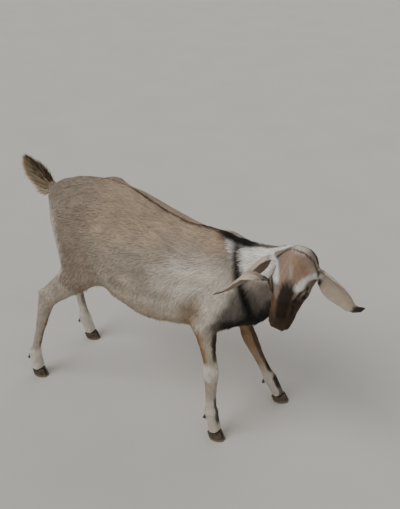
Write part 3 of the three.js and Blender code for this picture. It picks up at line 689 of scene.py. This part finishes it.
def material(name, **values):
    """A material with its own surface shader, whose sockets get the values."""
    made = bpy.data.materials.new(name)
    made.use_nodes = True
    shader = made.node_tree.nodes["Principled BSDF"]
    feed(shader, {key.replace("_", " "): value for key, value in values.items()})
    return made, made.node_tree, shader


def hexed(code):
    return (*linear(code), 1)


# %% Goat hair: dull fibre, coloured by the markings, each few millimetres a little lighter or darker
def hair(name, grain, bump):
    made, tree, shader = material(name, Roughness=0.78, IOR=1.45, Specular_IOR_Level=0.28)
    coords = node(tree, "TexCoord").outputs["Object"]
    tint = node(tree, "Attribute", {"attribute_name": "tint"})
    strands = node(tree, "Mapping", {"Scale": (1.0, 1.0, 0.35)}, Vector=coords)
    fine = node(tree, "TexNoise", {"Scale": grain, "Detail": 4.0, "Roughness": 0.6}, Vector=strands)
    wide = node(tree, "TexNoise", {"Scale": 28.0, "Detail": 3.0}, Vector=coords)
    light = node(tree, "MapRange", {"To Min": 0.72, "To Max": 1.28}, Value=fine)
    patch = node(tree, "MapRange", {"To Min": 0.86, "To Max": 1.14}, Value=wide)
    both = node(tree, "Math", {"operation": "MULTIPLY", 0: light, 1: patch})
    scaled = node(tree, "VectorMath", {"operation": "SCALE", 0: tint}, Scale=both)
    lumps = node(tree, "Bump", {"Strength": bump, "Distance": 0.0012}, Height=fine)
    feed(shader, {"Base Color": scaled, "Normal": lumps})
    return made


SKIN_HAIR = hair("goat_hair_short", 620.0, 0.7)
TUFT_HAIR = hair("goat_hair_tufts", 900.0, 0.25)
skin.data.materials.clear()
skin.data.materials.append(SKIN_HAIR)

# %% Hoof horn: grown in rings some 3 mm apart, worn dull and paler at the ground
HORN, tree, shader = material("hoof_horn", Roughness=0.5, IOR=1.54)
coords = node(tree, "TexCoord").outputs["Object"]
rings = node(tree, "TexWave", {"bands_direction": "Z", "Scale": 52.0, "Distortion": 2.2, "Detail": 3.0,
                               "Detail Scale": 2.0}, Vector=coords)
stains = node(tree, "TexNoise", {"Scale": 90.0, "Detail": 5.0}, Vector=coords)
height = node(tree, "SeparateXYZ", Vector=coords).outputs["Z"]
worn = node(tree, "MapRange", {"From Min": 0.0, "From Max": 0.010}, Value=height)
ramp = node(tree, "ValToRGB", Fac=stains)
for element, position, code in zip(ramp.color_ramp.elements, (0.3, 0.75), ("#241b13", "#5a4a38")):
    element.position, element.color = position, hexed(code)
dusty = node(tree, "Mix", {"data_type": "RGBA", 0: worn, 6: hexed("#7d6c55"), 7: ramp})
ridges = node(tree, "Bump", {"Strength": 0.55, "Distance": 0.0008}, Height=rings.outputs["Fac"])
feed(shader, {"Base Color": dusty.outputs[2], "Normal": ridges})
HOOVES = [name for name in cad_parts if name.startswith("hoof")]
for name in HOOVES:
    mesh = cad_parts[name].data
    mesh.materials.clear()
    mesh.materials.append(HORN)
print(len(HOOVES), "claws in horn")

# %% [markdown]
# ## Dewclaws
# Each foot has two small horn cones behind the fetlock. A cone is cut short, its end bevelled round, and
# copied to the eight places, turned down and back.

# %% Dewclaws
FETLOCKS = [(-0.025, -0.130, 0.090), (0.070, 0.128, 0.088), (-0.738, -0.140, 0.088), (-0.714, 0.133, 0.090)]
claws = []
for fetlock in FETLOCKS:
    for side in (1, -1):
        root = place(*fetlock) + Vector((-0.014, 0.0105 * side, -0.010))
        way = Vector((-0.55, 0.12 * side, -0.80)).normalized()
        deselect()
        bpy.ops.mesh.primitive_cone_add(
            vertices=20, radius1=0.0078, radius2=0.0048, depth=0.017, location=root + way * 0.006,
            rotation=way.to_track_quat("Z", "Y").to_euler())
        claw = bpy.context.object
        bpy.ops.object.transform_apply(location=True, rotation=True, scale=True)
        apply(claw, "BEVEL", width=0.0026, segments=3, limit_method="ANGLE")
        claws.append(claw)
dewclaws = join(claws, "dewclaws")
bpy.ops.object.origin_set(type="ORIGIN_CURSOR")
bpy.ops.object.shade_smooth_by_angle(angle=math.radians(50))
dewclaws.data.materials.append(HORN)
print("dewclaws", len(dewclaws.data.polygons), "faces")

# %% [markdown]
# ## Eyes
# The ball is a fine sphere whose pole looks out. Each point keeps where it lies from the pole in an
# attribute, and the colour rings and the level bar of the pupil are drawn from that.

# %% Eyes
EYE, tree, shader = material("wet_goat_eye", Roughness=0.06, IOR=1.376, Coat_Weight=1.0, Coat_Roughness=0.03)
gaze = node(tree, "Attribute", {"attribute_name": "gaze"}).outputs["Vector"]
u, v, _ = node(tree, "SeparateXYZ", Vector=gaze).outputs
flat = node(tree, "VectorMath", {"operation": "MULTIPLY", 0: gaze, 1: (1, 1, 0)})
from_middle = node(tree, "VectorMath", {"operation": "LENGTH", 0: flat}).outputs["Value"]
streaks = node(tree, "TexNoise", {"Scale": 5.0, "Detail": 6.0, "Roughness": 0.7}, Vector=gaze)
ring = node(tree, "Math", {"operation": "MULTIPLY_ADD", 0: streaks, 1: 0.10, 2: from_middle})
iris = node(tree, "ValToRGB", Fac=ring)
for share, code in (
        (0.25, "#6d6650"), (0.50, "#8b8672"), (0.66, "#5e5744"), (0.72, "#17120d"), (0.95, "#6b5c50")):
    iris.color_ramp.elements.new(share).color = hexed(code)
iris.color_ramp.elements.remove(iris.color_ramp.elements[0])
pupil = 0.0  # grows outwards from a level bar; 1 is its edge
for share, reach, power in ((u, 0.40, 4.0), (v, 0.15, 2.0)):
    ratio = node(tree, "Math", {"operation": "DIVIDE", 0: share, 1: reach})
    size = node(tree, "Math", {"operation": "ABSOLUTE", 0: ratio})
    size = node(tree, "Math", {"operation": "POWER", 0: size, 1: power})
    pupil = node(tree, "Math", {"operation": "ADD", 0: pupil, 1: size})
open_part = node(tree, "MapRange", {"From Min": 0.85, "From Max": 1.15}, Value=pupil)
eye_colour = node(tree, "Mix", {"data_type": "RGBA", 0: open_part, 6: hexed("#0a0c12"), 7: iris})
feed(shader, {"Base Color": eye_colour.outputs[2]})
for side, name in ((1, "left"), (-1, "right")):
    deselect()
    bpy.ops.mesh.primitive_uv_sphere_add(segments=64, ring_count=40, radius=EYE_RADIUS)
    ball = bpy.context.object
    ball.name = f"eyeball_{name}"
    out = EYE_OUT[side]
    along, _ = eye_axes(side)
    turned = math.radians(-25 * side)  # the pupil turns towards the level when the head hangs
    up = np.cross(out, along)
    cos, sin = math.cos(turned), math.sin(turned)
    along, up = along * cos + up * sin, up * cos - along * sin
    local = points_of(ball.data) / EYE_RADIUS
    gaze_layer = ball.data.attributes.new("gaze", "FLOAT_VECTOR", "POINT")
    gaze_layer.data.foreach_set("vector", local.astype(np.float32).ravel())
    bulge = 1 + 0.075 * np.clip((local[:, 2] - 0.74) / 0.26, 0, 1) ** 0.8  # the clear front stands proud
    shape = local * EYE_RADIUS * bulge[:, None]
    in_place = EYES[side] + shape @ np.array([along, up, out])
    set_points(ball.data, from_head(in_place))
    activate(ball)
    bpy.ops.object.mode_set(mode="EDIT")
    bpy.ops.mesh.select_all(action="SELECT")
    bpy.ops.mesh.normals_make_consistent(inside=False)
    bpy.ops.object.mode_set(mode="OBJECT")
    bpy.ops.object.shade_smooth()
    ball.data.materials.append(EYE)
    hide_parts(f"eye_{name}")
    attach(ball, "root")
print("two eyes")

# %% [markdown]
# ## The coat
# A Nubian's coat is short, fine and close. Over the skin lie many thin closed tufts, each a flat spike of
# ten triangles. They are drawn at random over the skin, closer on the face, and each follows the lie of
# the hair: back along the trunk, down the legs, up the face from the nose, out along the ears. A tuft's
# middle and tip are set on the nearest skin, so it hugs every curve. Under the belly and behind the
# thighs the tufts are longer and hang free.

# %% The lie of the hair
def lie_of(points, part):
    """The way the hair points, not yet laid into the skin."""
    at = points - np.array(SHIFT)
    x, y, z = at.T
    kind = kinds[part]
    way = np.tile((-0.90, 0.0, -0.22), (len(at), 1))
    down = np.array((-0.15, 0, -1.0))
    for share in (0.75 * step(-z, -0.66, -0.46), 0.9 * step(-x, 0.50, 0.66), step(x, -0.06, 0.04)):
        way += (down - way) * share[:, None]
    way[kind == "neck"] = (-0.72, 0.10, -0.66)
    limb = np.isin(kind, ("forearm", "gaskin", "cannon"))
    way[limb] = (-0.14, 0.0, -1.0)
    head = kind == "head"
    h = in_head(points[head])
    way[head] = np.column_stack([-np.ones(len(h)), 0.30 * np.sign(h[:, 1]) * step(-h[:, 0], -0.06, 0.02),
                                 -0.25 * step(-h[:, 2], -0.02, 0.02)]) @ HEAD
    for name, (line, _, _) in EARS.items():
        way[np.array(FLESH)[part] == name] = np.array(line[-1]) - np.array(line[0])
    way[kind == "tail"] = (-0.80, 0.08, 0.50)
    return way


def unit(rows):
    """Every row made one long."""
    return rows / np.maximum(norm(rows, axis=1), 1e-6)[:, None]


def laid(way, normal):
    """Directions pressed flat into the surface and made one long."""
    return unit(way - normal * (way * normal).sum(axis=1)[:, None])


skin_lie = laid(lie_of(skin_points, skin_part), skin_normals)
for _ in range(6):
    skin_lie = laid(spread(skin_lie, skin_edges, count, 4), skin_normals)
print("hair leans", round(float(np.mean(skin_lie @ (-1, 0, 0))), 2), "backwards and",
      round(float(np.mean(skin_lie @ (0, 0, -1))), 2), "downwards on the mean")

# %% A flat map of the skin, so that each tuft can find its root's place on it
activate(skin)
bpy.ops.object.mode_set(mode="EDIT")
bpy.ops.mesh.select_all(action="SELECT")
bpy.ops.uv.smart_project(angle_limit=math.radians(66), island_margin=0.001)
bpy.ops.object.mode_set(mode="OBJECT")
skin.data.uv_layers.active.name = "OFBake"
skin.data.calc_loop_triangles()
triangles = len(skin.data.loop_triangles)
corner = read(skin.data.loop_triangles, "vertices", 3, np.int32)
loop = read(skin.data.loop_triangles, "loops", 3, np.int32)
flat_map = read(skin.data.uv_layers["OFBake"].data, "uv", 2).astype(float)
skin_tree = BVHTree.FromPolygons(skin_points.tolist(), corner.tolist())
print("skin", triangles, "triangles")

# %% Roots of the tufts
# For each kind of part: square millimetres of skin a tuft has, its length, width and rise in mm
COAT = {
    "torso": (12.6, 26, 2.2, 2.6), "neck": (10.5, 21, 2.0, 2.4), "head": (2.9, 6.5, 1.1, 1.3),
    "ear": (4.1, 6.5, 1.1, 0.6), "tail": (12.0, 20, 2.0, 2.0), "forearm": (8.0, 13, 1.7, 1.8),
    "gaskin": (9.2, 15, 1.8, 2.0), "cannon": (6.5, 9.0, 1.4, 1.2),
}
draw = np.random.default_rng(11)
a, b, c = (skin_points[corner[:, k]] for k in range(3))
area = norm(np.cross(b - a, c - a), axis=1) / 2
face_part = skin_part[corner[:, 0]]
coat = np.array([COAT[kind] for kind in kinds])
chance = area / (coat[face_part, 0] * 1e-6)
number = int(chance.sum())
face_of = draw.choice(triangles, number, p=chance / chance.sum())
mix = draw.dirichlet((1, 1, 1), number)


def at_roots(values):
    """Values at the skin's points, blended to each tuft's root."""
    return sum(values[corner[face_of, k]] * mix[:, k:k + 1] for k in range(3))


root = at_roots(skin_points)
root_normal = unit(at_roots(skin_normals))
root_part = skin_part[corner[face_of, 0]]
root_map = sum(flat_map[loop[face_of, k]] * mix[:, k:k + 1] for k in range(3))
h = in_head(root)
bare = bare_nose(h) > 0.5
for side in (1, -1):
    distance, e, v, away = eye_place(h, side)
    bare |= (distance < 0.024) & (e < 1.30)
keep = ~bare
root, root_normal, root_part, root_map = (v[keep] for v in (root, root_normal, root_part, root_map))
root_lie = laid(at_roots(skin_lie)[keep], root_normal)
number = len(root)
print(number, "tufts")

# %% Shape of each tuft
length, width, rise = coat[root_part, 1:].T * 1e-3
x, y, z = (root - np.array(SHIFT)).T
trunk = np.isin(kinds[root_part], ("torso", "neck"))
belly = trunk * step(-root_normal[:, 2], 0.10, 0.55) * step(-z, -0.50, -0.44) * (np.abs(y) < 0.16)
thigh = trunk * step(-root_normal[:, 0], 0.35, 0.7) * step(-x, 0.56, 0.62) * step(-z, -0.66, -0.60)
breast = trunk * step(root_normal[:, 0], 0.5, 0.85) * step(x, 0.0, 0.05) * step(-z, -0.50, -0.46)
free = np.maximum.reduce([0.75 * belly, 0.55 * thigh, 0.4 * breast])
free *= 0.6 + 0.4 * wobble(root, 0.04, 6).clip(-1, 1)
length = length * (0.75 + 0.5 * draw.random(number)) * (1 + free)
width = width * (0.75 + 0.5 * draw.random(number))
rise = rise * (0.5 + draw.random(number))
turn = 0.20 * wobble(root, 0.05, 21) + 0.13 * wobble(root, 0.014, 22) + 0.14 * draw.normal(size=number)
side_way = np.cross(root_normal, root_lie)
lie = root_lie * np.cos(turn)[:, None] + side_way * np.sin(turn)[:, None]


def on_skin(points, height):
    """The nearest places on the skin, raised by a height, and the skin's normals there."""
    spots, normals = np.empty_like(points), np.empty_like(points)
    for k, p in enumerate(points):
        spot, normal, _, _ = skin_tree.find_nearest(Vector(p))
        spots[k], normals[k] = spot, normal
    return spots + normals * height[:, None], normals


hang = unit(lie * 0.55 + np.array((-0.25, 0, -1.0)) * 0.45)
middle, middle_normal = on_skin(root + lie * (0.48 * length)[:, None], rise * 0.9)
tip, tip_normal = on_skin(middle + lie * (0.52 * length)[:, None], rise * (0.55 + 0.5 * draw.random(number)))
loose = free[:, None]
middle = middle * (1 - loose) + loose * (root + (0.42 * lie + 0.06 * root_normal) * length[:, None])
tip = tip * (1 - loose) + loose * (middle + hang * (0.55 * length)[:, None])
print("tufts are", round(float(length.mean()) * 1000, 1), "mm long on the mean")


# %% From tufts to meshes
KEEL, SUNK = 0.20, 0.0006  # a tuft's height as a share of its width, and its root's depth in metres


def tuft_points(root, middle, tip, normal, middle_normal, width):
    """Seven points for each tuft: two flat three-cornered rings and the tip."""
    along = laid(middle - root, normal)
    across = np.cross(normal, along) * (width / 2)[:, None]
    high = normal * (KEEL * width)[:, None]
    along_2 = laid(tip - middle, middle_normal)
    across_2 = np.cross(middle_normal, along_2) * (width / 2)[:, None]
    high_2 = middle_normal * (KEEL * width)[:, None]
    low = root - normal * SUNK
    return np.stack([
        low - 0.7 * across, low + 0.7 * across, low + high,
        middle - across_2, middle + across_2, middle + high_2, tip], axis=1)


TUFT_FACES = [(0, 2, 1), (0, 1, 4, 3), (1, 2, 5, 4), (2, 0, 3, 5), (3, 4, 6), (4, 5, 6), (5, 3, 6)]
# Painted shade: each tuft is painted darkest at its root, as the shade down in the coat, and painted a little
# lighter at its tip
ROOT_SHADE_TIP_LIGHT = np.array([0.93, 0.93, 0.93, 1.0, 1.0, 1.0, 1.06])
SOFT_SHARE = 0.6
PATCH_HALF = 0.0014  # half the size of a tuft's patch on the flat map, which is one wide
PATCH = np.array([(-1, -1), (1, -1), (0, -0.6), (-1, 0.2), (1, 0.2), (0, 0.4), (0, 1.0)]) * PATCH_HALF


def map_at(points):
    """The places on the flat map of the skin nearest to points."""
    return np.array([flat_map[loop[skin_tree.find_nearest(Vector(p))[2], 0]] for p in points])


def tuft_piece(name, points, colours, maps, normals, faces=TUFT_FACES, light=ROOT_SHADE_TIP_LIGHT, patch=PATCH):
    """One mesh from many tufts alike, with their colours and their places on the skin's flat map.

    Their shading leans on the skin's own normals, so a coat of flat tufts shades as one soft surface."""
    tufts, each = points.shape[:2]
    mesh = bpy.data.meshes.new(name)
    mesh.vertices.add(tufts * each)
    mesh.vertices.foreach_set("co", points.astype(np.float32).ravel())
    order = np.array([k for face in faces for k in face])
    sizes = np.array([len(face) for face in faces])
    corners = (np.arange(tufts)[:, None] * each + order[None, :]).ravel()
    mesh.loops.add(len(corners))
    mesh.loops.foreach_set("vertex_index", corners.astype(np.int32))
    starts = np.concatenate([[0], np.cumsum(np.tile(sizes, tufts))[:-1]])
    mesh.polygons.add(len(starts))
    mesh.polygons.foreach_set("loop_start", starts.astype(np.int32))
    mesh.polygons.foreach_set("use_smooth", np.ones(len(starts), bool))
    mesh.update(calc_edges=True)
    # Painted shade: each point's colour is scaled by its factor, darker at a tuft's root and lighter at its
    # tip
    give_colours(mesh, "tint", (colours * light[None, :, None]).reshape(-1, 3))
    places = (maps[:, None, :] + patch[None, order, :]).reshape(-1, 2)
    mesh.uv_layers.new(name="OFBake").data.foreach_set("uv", places.astype(np.float32).ravel())
    piece = bpy.data.objects.new(name, mesh)
    bpy.context.scene.collection.objects.link(piece)
    shading = np.repeat(normals, each, axis=0) * SOFT_SHARE + normals_of(mesh) * (1 - SOFT_SHARE)
    mesh.normals_split_custom_set_from_vertices(unit(shading))
    mesh.materials.append(TUFT_HAIR)
    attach(piece, "root")
    print(name, tufts, "tufts,", int((sizes - 2).sum()) * tufts, "triangles")


print("a tuft has", sum(len(face) - 2 for face in TUFT_FACES), "triangles")

# %% Lashes
# Long thin dark spikes along each upper lid, out and a little down over the ball
LASHES = 46
lash = []
for side in (1, -1):
    out = EYE_OUT[side]
    along, up = eye_axes(side)
    for share in np.linspace(-0.86, 0.80, LASHES):
        away = out + along * share + up * (0.56 * (1 - (share / 0.92) ** 2) - 0.10 * share ** 2)
        start = EYES[side] + away / norm(away) * (EYE_RADIUS + 0.0008)
        way = out * 0.9 + up * 0.25 + along * (0.5 * share + 0.12 * draw.normal())
        reach = 0.0085 * (0.75 + 0.4 * draw.random()) * (1 - 0.4 * share ** 2)
        way *= reach / norm(way)
        lash.append((start, start + way * 0.55, start + way - up * 0.16 * reach, up))
lash_root, lash_middle, lash_tip, lash_up = np.array(lash).transpose(1, 0, 2)
lash_root, lash_up = from_head(lash_root), lash_up @ HEAD
lash_points = tuft_points(lash_root, from_head(lash_middle), from_head(lash_tip), lash_up, lash_up,
                          np.full(2 * LASHES, 0.0007))
lash_colours = np.tile(HUES["nose"], (2 * LASHES, 1, 1))
tuft_piece("lashes", lash_points, lash_colours, map_at(lash_root), lash_up)

# %% The coat, joined by region
# Half of a tuft's colour is its root's, half that of the skin it lies over, which keeps edges soft
ends = [markings(spot, normal, root_part) for spot, normal in (
    (root, root_normal), (middle, middle_normal), (tip, tip_normal))]
tuft_colours = np.stack([ends[0]] * 3 + [(ends[0] + ends[1]) / 2] * 3 + [(ends[0] + ends[2]) / 2], axis=1)
shade = 1 + 0.08 * draw.normal(size=number).clip(-2, 2) + 0.05 * wobble(root, 0.03, 5)
tuft_colours = np.clip(tuft_colours * shade[:, None, None], 0, 1)
points = tuft_points(root, middle, tip, root_normal, middle_normal, width)
kind = kinds[root_part]
right = y < 0
limb = np.isin(kind, ("forearm", "gaskin", "cannon"))
trunk = np.isin(kind, ("torso", "tail"))
ZONES = {  # for each: its slot, its tufts, and what splits them into a right and a left piece
    "face": ("face", kind == "head", in_head(root)[:, 1] < 0), "ears": ("ear", kind == "ear", None),
    "neck": ("coat", kind == "neck", None), "fore_legs": ("coat", limb & (x > -0.35), None),
    "hind_leg": ("coat", limb & (x <= -0.35), right), "haunch": ("coat", trunk & (x <= -0.44), right),
    "barrel": ("coat", trunk & (x > -0.44) & (x <= -0.20), right),
    "shoulder": ("coat", trunk & (x > -0.20), right),
}
for name, (slot, zone, split) in ZONES.items():
    for half, side in (("", True),) if split is None else (("_right", split), ("_left", ~split)):
        mine = zone & side
        tuft_piece(f"coat_{name}{half}", points[mine], tuft_colours[mine], root_map[mine],
                   root_normal[mine])

# %% [markdown]
# ## The tail
# A doe carries her tail up. Long hair fans from its short dock: dark on top, cream below and at the
# edge. Each lock is a thin closed spike of three rings and a tip on a bent line, drawn round the dock and
# along it.

# %% Tail locks
DOCK = np.array([(-0.640, 0, 0.668), (-0.690, 0, 0.690), (-0.724, 0.004, 0.708), (-0.750, 0.007, 0.723),
                 (-0.772, 0.009, 0.739), (-0.784, 0.010, 0.750)]) + np.array(SHIFT)
LOCKS, LOCK_LONG, FRINGE_FROM = 2400, 0.046, 0.30  # the fringe starts at that share of the dock
gone = np.concatenate([[0], np.cumsum(norm(np.diff(DOCK, axis=0), axis=1))])
up_tail = FRINGE_FROM + (1 - FRINGE_FROM) * draw.random(LOCKS) ** 0.8


def on_dock(share):
    """Points at shares of the dock's length."""
    return np.column_stack([np.interp(share * gone[-1], gone, DOCK[:, k]) for k in range(3)])


centre = on_dock(up_tail)
forward = unit(on_dock(np.minimum(up_tail + 0.06, 1.06)) - on_dock(up_tail - 0.06))
wide = unit(np.cross(forward, (0, 0, 1.0)))
high = np.cross(wide, forward)
angle = 2 * math.pi * draw.random(LOCKS)
out = wide * np.cos(angle)[:, None] + high * np.sin(angle)[:, None]
reach = np.interp(up_tail, (FRINGE_FROM, 0.44, 0.58, 0.72, 0.86, 1.0),
                  (0.024, 0.034, 0.040, 0.037, 0.028, 0.011))
fan = reach * np.hypot(np.cos(angle), 0.62 * np.sin(angle)) * (0.70 + 0.42 * draw.random(LOCKS))
long = LOCK_LONG * (0.70 + 0.45 * draw.random(LOCKS))
thick = np.interp(up_tail, (FRINGE_FROM, 1), (0.013, 0.006))


def tail_at(outwards, onwards):
    return centre + out * outwards[:, None] + forward * onwards[:, None]


knots = [tail_at(0.5 * thick, -0.008 + 0 * long), tail_at(0.80 * fan, 0.30 * long), tail_at(fan, long)]
droop = step(-np.sin(angle), -0.1, 0.6) * step(-up_tail, -0.66, -0.40)
knots[1] -= np.outer(droop, (0, 0, 0.010))
knots[2] -= np.outer(droop * (0.6 + 0.6 * draw.random(LOCKS)), (0.004, 0, 0.034))
knots[1] += draw.normal(size=(LOCKS, 3)) * 0.0015
knots[2] += draw.normal(size=(LOCKS, 3)) * 0.0030
lock_width = 0.0030 * (0.6 + 0.8 * draw.random(LOCKS))
rings = []
for t, broad in ((0.0, 0.6), (0.35, 1.0), (0.70, 0.75)):
    middle = knots[0] * (1 - t) ** 2 + knots[1] * 2 * t * (1 - t) + knots[2] * t * t
    along = unit((knots[1] - knots[0]) * (1 - t) + (knots[2] - knots[1]) * t)
    across = unit(np.cross(out, along))
    raised = np.cross(along, across)
    half = (lock_width * broad / 2)[:, None]
    rings += [middle - across * half, middle + across * half, middle + raised * half * 0.7]
LOCK_FACES = [(0, 2, 1)]
for first in (0, 3):
    LOCK_FACES += [(first + k, first + (k + 1) % 3, first + 3 + (k + 1) % 3, first + 3 + k) for k in range(3)]
LOCK_FACES += [(6, 7, 9), (7, 8, 9), (8, 6, 9)]
lock_points = np.stack([*rings, knots[2]], axis=1)
facing = np.sin(angle) + 0.22 * draw.normal(size=LOCKS)
lock_colours = HUES["tail_low"] + (HUES["tail_mid"] - HUES["tail_low"]) * step(facing, -0.60, -0.10)[:, None]
lock_colours += (HUES["tail_top"] - lock_colours) * step(facing, 0.45, 0.85)[:, None]
lock_colours *= (1 + 0.15 * draw.normal(size=LOCKS).clip(-2, 2))[:, None]
lock_colours = lock_colours[:, None, :]
# Painted shade: each lock is painted darker at its root, as the shade deep in the fan of hair, and lighter
# towards its tip
lock_root_shade = np.array([0.8] * 3 + [1.0] * 3 + [1.05] * 3 + [1.15])
lock_patch = np.array([(-1, -1), (1, -1), (0, -0.8), (-1, -0.3), (1, -0.3), (0, 0), (-1, 0.4), (1, 0.4),
                       (0, 0.6), (0, 1)]) * PATCH_HALF
tuft_piece("tail_hair", lock_points, np.clip(lock_colours, 0, 1), map_at(centre), out,
           LOCK_FACES, lock_root_shade, lock_patch)

# %% [markdown]
# ## Camera and light
# The camera stands as high as a person's eyes and looks down on the goat, ahead of its right side. One
# broad soft light comes from the camera's side, two weak ones fill the shade.

# %% Camera
CAMERA_AT = place(0.8102, -1.7806, 1.70)
AZIMUTH, DOWN = math.radians(28), math.radians(29)
FOCAL, PICTURE_HIGH = 740, 509  # in picture points
camera = bpy.data.objects.new("camera", bpy.data.cameras.new("camera"))
bpy.context.scene.collection.objects.link(camera)
camera.location = CAMERA_AT
camera.rotation_euler = (math.pi / 2 - DOWN, 0, AZIMUTH)
camera.data.sensor_width = 36
camera.data.lens = FOCAL * camera.data.sensor_width / PICTURE_HIGH
bpy.context.scene.camera = camera
print("the camera's lens is", round(camera.data.lens, 1), "mm")

# %% Floor and light
deselect()
bpy.ops.mesh.primitive_plane_add(size=60, location=(0, 0, -0.0005))
floor = bpy.context.object
floor.name = "floor"
FLOOR, tree, shader = material("pale_studio_floor", Roughness=0.9)
coords = node(tree, "TexCoord").outputs["Object"]
mottle = node(tree, "TexNoise", {"Scale": 3.0, "Detail": 4.0}, Vector=coords)
pale = node(tree, "ValToRGB", Fac=mottle)
for element, code in zip(pale.color_ramp.elements, ("#b9b5ae", "#c2beb7")):
    element.color = hexed(code)
feed(shader, {"Base Color": pale})
floor.data.materials.append(FLOOR)
floor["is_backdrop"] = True


def sun(name, towards, power, spread_angle):
    """A soft even light that shines along a way."""
    light = bpy.data.lights.new(name, "SUN")
    light.energy, light.angle = power, math.radians(spread_angle)
    obj = bpy.data.objects.new(name, light)
    bpy.context.scene.collection.objects.link(obj)
    obj.rotation_euler = Vector(towards).to_track_quat("-Z", "Y").to_euler()


sun("key", (0.55, 0.75, -1.0), 1.75, 38)
sun("fill", (-0.9, 0.5, -0.55), 0.35, 60)
sun("rim", (0.1, -1.0, -0.75), 0.5, 50)
world = bpy.data.worlds.new("studio")
bpy.context.scene.world = world
world.use_nodes = True
feed(world.node_tree.nodes["Background"], {"Color": (0.82, 0.82, 0.82, 1), "Strength": 0.55})

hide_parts(*FLESH)
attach(skin, "root")
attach(dewclaws, "root")
print("a camera, a floor, three lights and a grey sky")
low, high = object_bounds()
